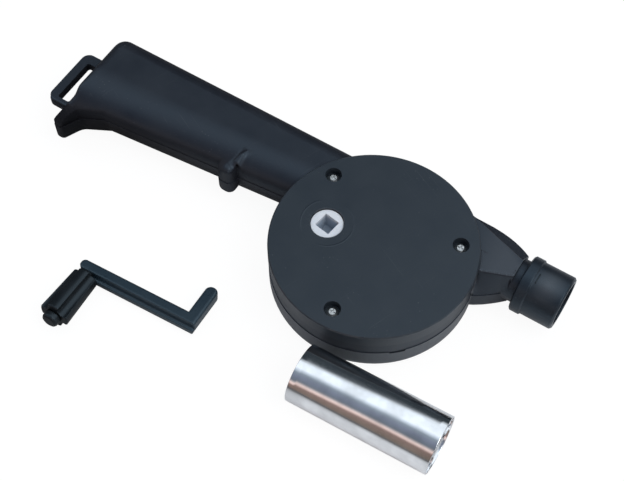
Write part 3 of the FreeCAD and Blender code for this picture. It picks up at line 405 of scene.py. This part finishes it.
# %% [markdown]
# **The oval handle.** The frame's handle is a box with rounded edges; the real one swells
# like an oval. A surface that looks rounder than it is needs only other normals, so this
# group works them out: the slope of an oval through the point, in the handle's section.
# Only the half of the section that is nearer the camera is turned. The mask keeps the
# effect off the drum, the loop and the finger guard's ridge, and its pairs of numbers say
# where along a way it starts and where it is full. The handle's sizes are the model's own,
# in metres, because the frame gives only boxes.

# %% Oval handle
HANDLE_END = -0.1712
HANDLE_NEAR = -0.0049
HANDLE_NEAR_SLOPE = 0.095
HANDLE_FAR = 0.0401
HANDLE_HALF_DEPTH = 0.013
PARTING = 0.0165
OVAL_POWER = 1.4
NEAR_HALF = (0.0, 0.15)
PAST_END = (HANDLE_END + 0.001, HANDLE_END + 0.006)
ON_HEEL = (-0.006, -0.009)
BEFORE_DRUM = (-0.038, -0.046)
RIDGE_FOOT_X = -0.0796
RIDGE_SLANT = 0.22
BESIDE_RIDGE = (0.0018, 0.0036)
ABOVE_RIDGE = (0.0125, 0.0145)

oval_group, given, result = new_group("oval_handle", [], ["Normal", "Mask"], directions=["Normal"])
along, across, high = parts_of(oval_group, place_of(oval_group))
run = sum_of(oval_group, "SUBTRACT", along, HANDLE_END)
near_side = sum_of(oval_group, "MULTIPLY_ADD", run, HANDLE_NEAR_SLOPE, HANDLE_NEAR)
width = sum_of(oval_group, "SUBTRACT", HANDLE_FAR, near_side)
half_width = sum_of(oval_group, "MULTIPLY", width, 0.5)
from_far = sum_of(oval_group, "DIVIDE", sum_of(oval_group, "SUBTRACT", HANDLE_FAR, across), half_width)
side_part = sum_of(oval_group, "MAXIMUM", sum_of(oval_group, "SUBTRACT", from_far, 1.0), 0.0)
over_parting = sum_of(oval_group, "SUBTRACT", high, PARTING)
rise_part = sum_of(oval_group, "DIVIDE", over_parting, HANDLE_HALF_DEPTH)

side_size = sum_of(oval_group, "POWER", side_part, OVAL_POWER)
side_slope = sum_of(oval_group, "DIVIDE", side_size, half_width)
rise_size = sum_of(oval_group, "POWER", sum_of(oval_group, "ABSOLUTE", rise_part), OVAL_POWER)
rise_size = product(oval_group, rise_size, sum_of(oval_group, "SIGN", rise_part))
rise_slope = sum_of(oval_group, "DIVIDE", rise_size, HANDLE_HALF_DEPTH)
towards_near = sum_of(oval_group, "MULTIPLY", side_slope, -1.0)
slope = add(oval_group, "ShaderNodeCombineXYZ", {1: towards_near, 2: rise_slope}).outputs[0]
outward = add(oval_group, "ShaderNodeVectorMath", {0: slope}, operation="NORMALIZE").outputs[0]

past_end = spread(oval_group, along, *PAST_END)
on_heel = spread(oval_group, across, *ON_HEEL)
crest = sum_of(oval_group, "MULTIPLY_ADD", across, RIDGE_SLANT, RIDGE_FOOT_X)
from_crest = sum_of(oval_group, "ABSOLUTE", sum_of(oval_group, "SUBTRACT", along, crest))
off_ridge = sum_of(oval_group, "MAXIMUM", spread(oval_group, from_crest, *BESIDE_RIDGE),
                   spread(oval_group, across, *ABOVE_RIDGE))
mask = product(oval_group, spread(oval_group, side_part, *NEAR_HALF),
               sum_of(oval_group, "MAXIMUM", past_end, on_heel),
               spread(oval_group, along, *BEFORE_DRUM), off_ridge)
oval_group.links.new(outward, result.inputs[0])
oval_group.links.new(mask, result.inputs[1])
print("oval from x", PAST_END[0], "to", BEFORE_DRUM[0], "with", len(oval_group.nodes), "nodes")

# %% [markdown]
# ## Moulded plastics
# The shells, the cover, the collar and the crank are all black plastic, but not the same
# black: the shells are a bluish satin, the cover is more even, the collar is deeper and
# the crank shines. One function makes them all. It starts from a nearly black colour,
# because what the eye sees on such a part is mostly the sky in its surface, and lets the
# grain, the patches, the dust and the scratches change colour and roughness a little.
# Each tone below is a share of the way from the deep colour to a pale grey.

# %% Black plastic
PALE_GREY = 0.45
PATCH_TONES = (0.004, 0.016)
SCRATCH_TONE = 0.10
DUST_TONE = 0.30
# The next tone lightens both worn rims and painted highlights.
WEAR_AND_HIGHLIGHT_TONE = 0.14
PATCH_ROUGHNESS = 0.035
DUST_ROUGHNESS = 0.3
WEAR_AND_HIGHLIGHT_SHINE = 0.12
GRAIN_DEPTH = 0.04 * MM
MARK_DEPTH = 0.12 * MM


def open_material(name):
    """A new material with an empty graph, and its shader."""
    material = bpy.data.materials.new(name)
    material.use_nodes = True
    graph = material.node_tree
    graph.nodes.clear()
    shader = add(graph, "ShaderNodeBsdfPrincipled")
    add(graph, "ShaderNodeOutputMaterial", {0: shader.outputs[0]})
    return material, graph, shader


def lighter(colour, share):
    """The same hue moved a share of the way to pale grey."""
    return tuple(part + (PALE_GREY - part) * share for part in colour[:3]) + (1.0,)


def black_plastic(name, colour, roughness, grain=0.5, fineness=1500.0, wear_and_highlight=None, marks=None,
                  dust=0.35, sheen=0.5, tint=(0.8, 0.93, 1.0), soft_edge=0.0, shape=None):
    """Moulded plastic. The wear and painted highlight mask, marks and shape add a mask, a height or a
    normal to the graph.
    """
    material, graph, shader = open_material(name)
    shader.inputs["Specular IOR Level"].default_value = sheen
    shader.inputs["Specular Tint"].default_value = (*tint, 1.0)
    deep = (*colour, 1.0)
    moulded = use_group(graph, grain_group, Fineness=fineness)
    scratched = use_group(graph, hair_group, Amount=0.6)[0]
    dusty = use_group(graph, dust_group, Amount=dust)[0]
    tone = between(graph, moulded[1], *[lighter(deep, share) for share in PATCH_TONES])
    tone = between(graph, scratched, tone, lighter(deep, SCRATCH_TONE))
    tone = between(graph, dusty, tone, lighter(deep, DUST_TONE))
    shine = spread(graph, moulded[1], 0.0, 1.0, roughness - PATCH_ROUGHNESS, roughness + PATCH_ROUGHNESS)
    shine = sum_of(graph, "MULTIPLY_ADD", dusty, DUST_ROUGHNESS, shine)
    height = sum_of(graph, "SUBTRACT", moulded[0], sum_of(graph, "MULTIPLY", scratched, 0.5))
    # A mask of wear and painted highlight lightens the tone and smooths the roughness.
    if wear_and_highlight:
        wear_and_highlight_mask = wear_and_highlight(graph)
        tone = between(graph, wear_and_highlight_mask, tone, lighter(deep, WEAR_AND_HIGHLIGHT_TONE))
        shine = sum_of(graph, "MULTIPLY_ADD", wear_and_highlight_mask, -WEAR_AND_HIGHLIGHT_SHINE, shine)
    bump = add(graph, "ShaderNodeBump", {"Strength": grain, "Distance": GRAIN_DEPTH, "Height": height})
    if shape:
        graph.links.new(shape(graph), bump.inputs["Normal"])
    if soft_edge:
        rounded = add(graph, "ShaderNodeBevel", {"Radius": soft_edge}, samples=6)
        graph.links.new(rounded.outputs[0], bump.inputs["Normal"])
    normal = bump.outputs[0]
    if marks:
        cut = add(graph, "ShaderNodeBump", {"Strength": 1.0, "Distance": MARK_DEPTH,
                                            "Height": marks(graph), "Normal": normal})
        normal = cut.outputs[0]
    graph.links.new(tone, shader.inputs["Base Color"])
    graph.links.new(shine, shader.inputs["Roughness"])
    graph.links.new(normal, shader.inputs["Normal"])
    return material


# %% [markdown]
# The cover carries two things of its own. Its rim is rubbed, and round the hub there is a
# faint ring, the witness of the insert that shapes the hub's opening in the mould.

# %% Cover
RIM_TOP = (FACE_HEIGHT - 1.1 * MM, FACE_HEIGHT - 0.4 * MM)
LIP_RADIUS = 7.8 * MM
WITNESS_RADIUS = 12.2 * MM


def cover_wear(graph):
    """Mask of the rubbed outer rim and of the lip of the hub's opening."""
    place = place_of(graph)
    rim = use_group(graph, ring_group, Radius=DRUM_RADIUS, Width=0.7 * MM)[0]
    rim = product(graph, rim, spread(graph, parts_of(graph, place)[2], *RIM_TOP))
    lip = use_group(graph, ring_group, Centre=tuple(HUB), Radius=LIP_RADIUS, Width=0.5 * MM)[0]
    broken = spread(graph, noise(graph, place, 160.0, 2.0), 0.35, 0.65, 0.1, 0.7)
    return product(graph, sum_of(graph, "MAXIMUM", rim, lip), broken)


def cover_marks(graph):
    """Height of the insert's witness ring, which fades in and out as it goes round."""
    ring = use_group(graph, ring_group, Centre=tuple(HUB), Radius=WITNESS_RADIUS, Width=0.5 * MM)[0]
    return product(graph, ring, spread(graph, noise(graph, place_of(graph), 45.0, 1.0), 0.4, 0.6))


cover_black = black_plastic("cover_black", (0.0120, 0.0170, 0.0250), 0.40, grain=0.35, sheen=0.58,
                            wear_and_highlight=cover_wear, marks=cover_marks)
print("cover", len(cover_black.node_tree.nodes), "nodes, witness ring at", WITNESS_RADIUS / MM, "mm")

# %% [markdown]
# The shells need two masks and one more shape. The shell's rim under the cover is rubbed,
# and the duct's flat face is painted lighter, a painted highlight. The collar gets a paler
# patch beside its key, also a painted highlight. The duct's far edge is a bevel that looks
# dark in the photo. The solid has a plain slope there, so its normals are turned back, away
# from the camera, until it mirrors a darker sky. As with the oval handle, that changes the
# shading and leaves the outline alone.

# %% Shells' and collar's own masks
DUCT_HIGHLIGHT = 0.55
DUCT_FACE_HEIGHT = (0.0284, 0.0288)
DUCT_FACE_START = (0.030, 0.052)
DUCT_FACE_SLOPE = 0.55
DUCT_FACE_END = (0.064, 0.058)
BEVEL_SLOPE = 0.3
BEVEL_EDGE = (0.0467, 0.0475)
BEVEL_START = (0.028, 0.032)
BEVEL_END = (0.0606, 0.0602)
BEVEL_FACING = (0.18, 0.42, 0.89)
# A painted highlight on the collar beside its key: its centre, fade and share.
KEY_HIGHLIGHT_CENTRE = (0.0760, 0.0235, 0.0285)
KEY_HIGHLIGHT_FADE = (0.0085, 0.0010)
KEY_HIGHLIGHT_SHARE = 0.9


def collar_highlight(graph):
    """Mask of the painted highlight beside the collar's key."""
    from_highlight = distance(graph, place_of(graph), KEY_HIGHLIGHT_CENTRE)
    return spread(graph, from_highlight, *KEY_HIGHLIGHT_FADE, 0.0, KEY_HIGHLIGHT_SHARE)


def shell_wear_and_highlight(graph):
    """Mask of the rubbed rim under the cover and of the duct's flat face, a painted highlight."""
    rim = use_group(graph, ring_group, Radius=DRUM_RADIUS, Width=0.4 * MM)[0]
    along, across, high = parts_of(graph, place_of(graph))
    # The duct's flat face is a painted highlight; the rim's band is wear.
    inward = sum_of(graph, "MULTIPLY_ADD", along, DUCT_FACE_SLOPE, across)
    on_face = product(graph, spread(graph, high, *DUCT_FACE_HEIGHT), spread(graph, along, *DUCT_FACE_START),
                      spread(graph, inward, *DUCT_FACE_END), DUCT_HIGHLIGHT)
    return sum_of(graph, "MAXIMUM", rim, on_face)


def turned_towards(graph, mask, own, facing):
    """Blend of two directions by a mask."""
    node = add(graph, "ShaderNodeMix", {0: mask, 4: own, 5: facing}, data_type="VECTOR")
    return node.outputs[1]


def shell_shape(graph):
    """Normals of the handle's oval and the duct's bevel, and the part's own elsewhere."""
    own = add(graph, "ShaderNodeNewGeometry").outputs["Normal"]
    oval = use_group(graph, oval_group)
    shaped = turned_towards(graph, oval[1], own, oval[0])
    along, across = parts_of(graph, place_of(graph))[:2]
    past_edge = sum_of(graph, "MULTIPLY_ADD", along, BEVEL_SLOPE, across)
    on_bevel = product(graph, spread(graph, past_edge, *BEVEL_EDGE), spread(graph, along, *BEVEL_START),
                       spread(graph, along, *BEVEL_END))
    shaped = turned_towards(graph, on_bevel, shaped, BEVEL_FACING)
    return add(graph, "ShaderNodeVectorMath", {0: shaped}, operation="NORMALIZE").outputs[0]


print("duct bevel from x", BEVEL_START[0], "to", BEVEL_END[0], "m")

# %% [markdown]
# The numbers that follow are what tells the blacks apart: the colour, the roughness, the
# grain, the strength and tint of the mirrored sky, and a radius by which the shader rounds
# the edges of the collar, the crank and the grip.

# %% Shells, collar, crank and grip
shell_black = black_plastic("shell_black", (0.0095, 0.0095, 0.0138), 0.42, grain=0.5, wear_and_highlight=shell_wear_and_highlight,
                            sheen=0.62, tint=(0.62, 0.82, 1.0), shape=shell_shape)
collar_black = black_plastic("collar_black", (0.0090, 0.0120, 0.0170), 0.36, grain=0.3, fineness=1900.0,
                             sheen=0.55, tint=(0.60, 0.82, 1.0), soft_edge=0.0006, wear_and_highlight=collar_highlight)
crank_black = black_plastic("crank_black", (0.0160, 0.0300, 0.0430), 0.30, grain=0.2, fineness=1300.0,
                            sheen=0.75, tint=(0.70, 0.90, 1.0), soft_edge=0.0014)
grip_black = black_plastic("grip_black", (0.0050, 0.0065, 0.0080), 0.34, grain=0.3, tint=(0.7, 0.88, 1.0),
                           soft_edge=0.0006)
fan_plastic = black_plastic("fan_plastic", (0.020, 0.020, 0.023), 0.50, grain=0.6)
blacks = (cover_black, shell_black, collar_black, crank_black, grip_black, fan_plastic)
print("black plastics:", [black.name for black in blacks])

# %% [markdown]
# ## White nylon
# The hub and the gears are natural nylon: a milky white that lets light in a little, with
# a waxy shine and a few specks of grease. A touch of subsurface light keeps it from going
# chalky. Below the hub's face the tone falls to grey, as the socket's does in the photo:
# that grey is painted shade in the socket.

# %% Nylon
NYLON_TONES = ((0.77, 0.795, 0.835, 1.0), (0.87, 0.885, 0.90, 1.0))
GREASE_TONE = (0.45, 0.45, 0.44, 1.0)
SOCKET_SHADE_TONE = (0.42, 0.48, 0.55, 1.0)
SOCKET_SHADE_FADE = (HUB_TOP - 0.4 * MM, HUB_TOP - 3.0 * MM)
NYLON_ROUGHNESS = (0.32, 0.42)
nylon_white, graph, shader = open_material("nylon_white")
moulded = use_group(graph, grain_group, Fineness=900.0, Patch_Size=160.0)
soiled = use_group(graph, dust_group, Fineness=300.0, Amount=0.5)[0]
tone = between(graph, moulded[1], *NYLON_TONES)
tone = between(graph, soiled, tone, GREASE_TONE)
# Painted shade: the tone falls to grey below the hub's face, in the socket.
socket_shade = spread(graph, parts_of(graph, place_of(graph))[2], *SOCKET_SHADE_FADE)
tone = between(graph, socket_shade, tone, SOCKET_SHADE_TONE)
bump = add(graph, "ShaderNodeBump", {"Strength": 0.3, "Distance": GRAIN_DEPTH, "Height": moulded[0]})
graph.links.new(tone, shader.inputs["Base Color"])
graph.links.new(spread(graph, moulded[1], 0.0, 1.0, *NYLON_ROUGHNESS), shader.inputs["Roughness"])
graph.links.new(bump.outputs[0], shader.inputs["Normal"])
shader.inputs["Subsurface Weight"].default_value = 0.15
shader.inputs["Subsurface Radius"].default_value = (0.001, 0.0009, 0.0008)
shader.inputs["Subsurface Scale"].default_value = 1.0
print("nylon", len(graph.nodes), "nodes")

# %% [markdown]
# ## Metals
# Screws, pins and bushes are turned or rolled, so they have a fine dull grain, and the
# loose tube is polished. One function makes them all from a colour, a roughness and the
# way that the lines run, given as a stretch of the noise along X, Y and Z.

# %% Metals
CLOUD_SCALE = 120.0
CLOUD_DARK = 0.82
LINE_DEPTH = 0.02 * MM


def metal(name, colour, roughness, stretch=(1.0, 1.0, 1.0), fineness=1500.0, depth=0.3, turn=0.0):
    """Metal whose working lines are a noise stretched along the frame's axes, turned about Z."""
    material, graph, shader = open_material(name)
    shader.inputs["Metallic"].default_value = 1.0
    place = place_of(graph)
    lines = noise(graph, drawn_out(graph, place, turn, stretch), fineness, 3.0)
    dull = spread(graph, noise(graph, place, CLOUD_SCALE, 2.0), 0.35, 0.65)
    darker = tuple(part * CLOUD_DARK for part in colour) + (1.0,)
    graph.links.new(between(graph, dull, (*colour, 1.0), darker), shader.inputs["Base Color"])
    rough = spread(graph, lines, 0.3, 0.7, roughness * 0.75, roughness * 1.25)
    rough = sum_of(graph, "MULTIPLY_ADD", dull, roughness * 0.25, rough)
    graph.links.new(rough, shader.inputs["Roughness"])
    bump = add(graph, "ShaderNodeBump", {"Strength": depth, "Distance": LINE_DEPTH, "Height": lines})
    graph.links.new(bump.outputs[0], shader.inputs["Normal"])
    return material


zinc_steel = metal("zinc_steel", (0.72, 0.73, 0.72), 0.30, fineness=900.0)
shaft_steel = metal("shaft_steel", (0.58, 0.59, 0.61), 0.28, stretch=(1.0, 1.0, 8.0))
bronze = metal("bronze", (0.52, 0.34, 0.17), 0.42, fineness=2500.0, depth=0.6)
print("metals:", [finish.name for finish in (zinc_steel, shaft_steel, bronze)])

# %% [markdown]
# ## Giving each node its finish
# The record says which slot each node belongs to, so the finishes are handed out by slot.
# Only the tube's slot is left out, because a new piece takes that node's place below.

# %% Hand out the finishes
FINISHES = {
    "shell_black": shell_black, "cover_black": cover_black, "collar_black": collar_black,
    "crank_black": crank_black, "grip_black": grip_black, "nylon_white": nylon_white,
    "fan_plastic": fan_plastic, "zinc_steel": zinc_steel, "shaft_steel": shaft_steel,
    "bronze": bronze}
slot_of = {part["node"]: part["material_slot"] for part in frame["record"]["subparts"]}
for name, thing in frame["nodes"].items():
    if slot_of[name] in FINISHES:
        for slot in thing.material_slots:
            slot.material = FINISHES[slot_of[name]]
print(len(frame["nodes"]), "nodes,", len(FINISHES), "finishes")

# %% [markdown]
# ## Surfaces from grids
# A turned or a bent form is a grid of points: one way runs along the form, the other goes
# round it. The mesh could be made by modifiers on a curve, but a grid of points is exact
# and its faces are found for the whole grid at once.

# %% A piece from a grid


def piece_from_grid(name, points, along_closed=True):
    """Mesh from a grid of points (along, around, 3): each cell becomes one face.

    Neighbours in both directions are found by shifting the grid's numbers by one row or
    one column. The way around always closes; the way along closes or gets two end faces.
    """
    along, around = points.shape[:2]
    number = np.arange(along * around).reshape(along, around)
    rows = number if along_closed else number[:-1]
    below = np.roll(number, -1, axis=0)[:rows.shape[0]]
    here, beside = rows, np.roll(rows, -1, axis=1)
    under, across = below, np.roll(below, -1, axis=1)
    faces = np.stack([here, beside, across, under], axis=-1).reshape(-1, 4).tolist()
    if not along_closed:
        faces += [number[0, ::-1].tolist(), number[-1].tolist()]
    mesh = bpy.data.meshes.new(name)
    mesh.from_pydata(points.reshape(-1, 3).tolist(), [], faces)
    mesh.shade_smooth()
    piece = bpy.data.objects.new(name, mesh)
    scene.collection.objects.link(piece)
    return piece


print("ready:", piece_from_grid.__name__)

# %% [markdown]
# ## The steel tube
# The loose tube is thin sheet, rolled, welded and polished. A plain cylinder with square
# ends has no highlight on its edge, and that highlight is what tells steel from paint. So
# the tube is made again as a lathe surface: a closed profile of the wall with round lips,
# carried round the axis. The weld stands as a low bead inside the bore.

# %% Tube
tube_low, tube_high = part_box("blow_tube")
TUBE_RADIUS = (tube_high.z - tube_low.z) / 2
TUBE_WALL = 0.6 * MM
TUBE_TURN = math.radians(2.5)
TUBE_LENGTH = 68.5 * MM
tube_middle = (tube_low + tube_high) / 2
AROUND = 256
LIP_STEPS = 9
WALL_STEPS = 24
BEAD_HEIGHT = 0.10 * MM
BEAD_WIDTH = math.radians(2.2)
BEAD_ANGLE = math.radians(205.0)


def wall_profile():
    """Closed outline of the wall as (along, radius): two straight runs and two half circles."""
    half = TUBE_WALL / 2
    middle = TUBE_RADIUS - half
    reach = TUBE_LENGTH / 2 - half
    swing = np.linspace(math.pi / 2, -math.pi / 2, LIP_STEPS)
    run = np.linspace(-reach, reach, WALL_STEPS)
    outside = np.stack([run, np.full(WALL_STEPS, TUBE_RADIUS)], 1)
    lip = np.stack([reach + half * np.cos(swing), middle + half * np.sin(swing)], 1)
    inside = np.stack([-run, np.full(WALL_STEPS, middle - half)], 1)
    other = np.stack([-reach - half * np.cos(swing), middle - half * np.sin(swing)], 1)
    return np.concatenate([outside, lip[1:-1], inside, other[1:-1]])


def tube_points():
    """Lathe: each profile point (a, r) goes to the axis point a plus r times the turning spoke.

    Inside the bore the radius is less by a bell curve of the angle, which is the weld bead.
    """
    profile = wall_profile()
    turn = np.linspace(0, 2 * math.pi, AROUND, endpoint=False)
    bead = BEAD_HEIGHT * np.exp(-((turn - BEAD_ANGLE) / BEAD_WIDTH) ** 2)
    inner = profile[:, 1] < TUBE_RADIUS - TUBE_WALL * 0.75
    radius = profile[:, 1:2] - np.where(inner[:, None], bead[None, :], 0.0)
    axis = np.array([math.cos(TUBE_TURN), math.sin(TUBE_TURN), 0.0])
    side = np.array([-math.sin(TUBE_TURN), math.cos(TUBE_TURN), 0.0])
    up = np.array([0.0, 0.0, 1.0])
    spoke = np.cos(turn)[:, None] * side + np.sin(turn)[:, None] * up
    return (np.array(tube_middle) + profile[:, 0, None, None] * axis
            + radius[:, :, None] * spoke[None, :, :])


tube = piece_from_grid("tube_shell", tube_points())
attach(tube, "tube")
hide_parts("blow_tube")
polished_steel = metal("polished_steel", (0.93, 0.935, 0.94), 0.10, stretch=(0.02, 1.0, 1.0),
                       fineness=1400.0, depth=0.10, turn=-TUBE_TURN)
tube.data.materials.append(polished_steel)
print("tube", len(tube.data.polygons), "faces, radius", round(TUBE_RADIUS, 5))

# %% [markdown]
# ## Skins that flow from part to part
# The frame is built from clean solids, so where two of them meet there is a crease. On the
# real shell the plastic flows: from the handle into the heel, and from the duct's side
# down to its lower lobe. Picture a stretched film laid over the solids from above. It
# touches what stands out and spans what lies between. The film is a grid of heights:
# each height moves to the mean of its neighbours, but never below the solid. At the lobe
# it fills the corner beside the duct's steep side, so in places it stands more than 20 mm
# over the solid that is straight below it.

# %% Film over solids
FILM_LIFT = 0.04 * MM
FILM_DEPTH = 0.5 * MM
FILM_LEAST = 0.01 * MM
FILM_MARGIN = 3
RAY_START = 0.1


def mean_of_neighbours(film):
    """Mean of the four neighbours of every height."""
    across = np.roll(film, 1, 0) + np.roll(film, -1, 0)
    return (across + np.roll(film, 1, 1) + np.roll(film, -1, 1)) / 4


def heights_below(names, xs, ys):
    """Height of the named parts under each (x, y), by rays from above; nan where there is none."""
    corners, faces, first = [], [], 0
    for name in names:
        mesh = frame["nodes"][name].data
        spots = np.empty(len(mesh.vertices) * 3)
        mesh.vertices.foreach_get("co", spots)
        corners.append(spots.reshape(-1, 3))
        faces += [[number + first for number in face.vertices] for face in mesh.polygons]
        first += len(mesh.vertices)
    tree = BVHTree.FromPolygons(np.concatenate(corners).tolist(), faces)
    down = Vector((0.0, 0.0, -1.0))
    hits = [tree.ray_cast(Vector((x, y, RAY_START)), down)[0] for x in xs for y in ys]
    return np.array([hit.z if hit else np.nan for hit in hits]).reshape(len(xs), len(ys))


def stretched(solid, inside, rounds):
    """Film heights: z becomes max(solid, mean of the four neighbours), over and over.

    Points outside the film's outline stay on the solid, so the border is held down.
    """
    film = solid.copy()
    for _ in range(rounds):
        film = np.where(inside, np.maximum(solid, mean_of_neighbours(film)), solid)
    return film


def spread_out(mask, rounds):
    """Grows a mask by one cell to every side, a number of times."""
    for _ in range(rounds):
        wider = mask | np.roll(mask, 1, 0) | np.roll(mask, -1, 0)
        mask = wider | np.roll(mask, 1, 1) | np.roll(mask, -1, 1)
    return mask


def film_piece(name, names, low, high, step, floor_height, rounds, ridge=None):
    """A closed thin skin over the named parts, inside a box, wherever the film leaves them.

    The box, the step and the floor's height are in millimetres. ridge is a function of x
    and y in millimetres that gives the height of an added rib.
    """
    xs = np.arange(low[0], high[0], step) * MM
    ys = np.arange(low[1], high[1], step) * MM
    solid = heights_below(names, xs, ys)
    there = np.nan_to_num(solid, nan=-1.0) > floor_height * MM
    solid = np.where(there, solid, floor_height * MM) + FILM_LIFT
    bare = solid.copy()
    if ridge:
        solid = np.maximum(solid, ridge(xs[:, None] / MM, ys[None, :] / MM) * MM)
    inside = there.copy()
    inside[[0, -1]] = False
    inside[:, [0, -1]] = False
    film = stretched(solid, inside, rounds)
    number = np.arange(film.size).reshape(film.shape)
    quads = np.stack([number[:-1, :-1], number[1:, :-1], number[1:, 1:], number[:-1, 1:]], -1)
    there &= spread_out(film - bare > FILM_LEAST, FILM_MARGIN)
    whole = there[:-1, :-1] & there[1:, :-1] & there[1:, 1:] & there[:-1, 1:]
    top = quads[whole]
    under = top[:, ::-1] + film.size
    edges = np.concatenate([top[:, [corner, (corner + 1) % 4]] for corner in range(4)])
    codes = edges[:, 0] * film.size + edges[:, 1]
    lonely = edges[~np.isin(codes, edges[:, 1] * film.size + edges[:, 0])]
    wall = np.concatenate([lonely[:, ::-1], lonely + film.size], axis=1)
    flat_x, flat_y = np.meshgrid(xs, ys, indexing="ij")
    upper = np.stack([flat_x, flat_y, film], -1).reshape(-1, 3)
    points = np.concatenate([upper, upper - (0.0, 0.0, FILM_DEPTH)])
    faces = np.concatenate([top, under, wall])
    used, renumbered = np.unique(faces, return_inverse=True)
    mesh = bpy.data.meshes.new(name)
    mesh.from_pydata(points[used].tolist(), [], renumbered.reshape(faces.shape).tolist())
    mesh.shade_smooth()
    piece = bpy.data.objects.new(name, mesh)
    scene.collection.objects.link(piece)
    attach(piece, "housing")
    mesh.materials.append(shell_black)
    print(name, len(top), "cells, up to", round(float((film - bare).max() / MM), 2), "mm off the solids")


film_piece("heel_skin", ["front_housing"], low=(-172.4, -19.4), high=(-136.0, 8.0),
           step=0.4, floor_height=17.2, rounds=160)
film_piece("lobe_skin", ["front_housing", "rear_housing"], low=(42.0, -3.0), high=(60.6, 24.0),
           step=0.4, floor_height=2.0, rounds=260)

# %% [markdown]
# The finger guard of the real handle does not stop as a block. It climbs the handle's
# rounding as a slim ridge that leans towards the drum. The same film does it, once the
# ridge is added to the heights as a row of parabolas along a line. Its rows of places,
# heights and half widths are in millimetres.

# %% Guard ridge
RIDGE_Y = (-1.2, 1.5, 5.0, 9.5, 12.5)
RIDGE_TOP = (21.0, 25.4, 28.4, 30.2, 29.5)
RIDGE_HALF = (3.0, 2.8, 2.4, 1.5, 0.8)
RIDGE_FALL = 1.7


def guard_ridge(x, y):
    """Height t(y) - fall ((x - c(y)) / h(y))^2, with the crest c leaning towards the drum."""
    crest = RIDGE_FOOT_X / MM + RIDGE_SLANT * y
    top = np.interp(y, RIDGE_Y, RIDGE_TOP, left=0.0, right=0.0)
    return top - RIDGE_FALL * ((x - crest) / np.interp(y, RIDGE_Y, RIDGE_HALF)) ** 2


film_piece("guard_skin", ["front_housing"], low=(-90.0, -1.4), high=(-68.0, 16.0),
           step=0.3, floor_height=17.5, rounds=24, ridge=guard_ridge)

# %% [markdown]
# ## The collar's key
# Just past the collar's ring, on the sleeve, a short key stands out and shows as a dark
# dash. It is a thin round bead bent round the sleeve and thinned at both ends. Its own
# shade is real, and the grip's darker black that it wears is painted shade that deepens the
# dash. Its two end rings are closed by one face each.

# %% Key of the collar
KEY_RADIUS = 0.32 * MM
KEY_ALONG = 70.5 * MM
SLEEVE_RADIUS = 13.0 * MM
KEY_ARC = np.radians([-4.0, 20.0])
KEY_STEPS = 25
KEY_SIDES = 12


def key_points():
    """Bead on a circle of the sleeve: its radius is R (1 - (2t - 1)^8)^(1/2), near zero at both ends."""
    share = np.linspace(0.0, 1.0, KEY_STEPS)
    arc = KEY_ARC[0] + share * (KEY_ARC[1] - KEY_ARC[0])
    thick = KEY_RADIUS * (1.0 - (2.0 * share - 1.0) ** 8) ** 0.5 + 0.01 * MM
    swing = np.linspace(0, 2 * math.pi, KEY_SIDES, endpoint=False)
    reach = SLEEVE_RADIUS + thick[:, None] * np.cos(swing)
    return np.stack([KEY_ALONG + thick[:, None] * np.sin(swing),
                     COLLAR_Y - reach * np.sin(arc)[:, None],
                     COLLAR_Z + reach * np.cos(arc)[:, None]], -1)


key = piece_from_grid("collar_key", key_points(), along_closed=False)
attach(key, "housing")
# The grip's darker black on the key is painted shade for the dash.
key.data.materials.append(grip_black)
print("key", len(key.data.polygons), "faces")
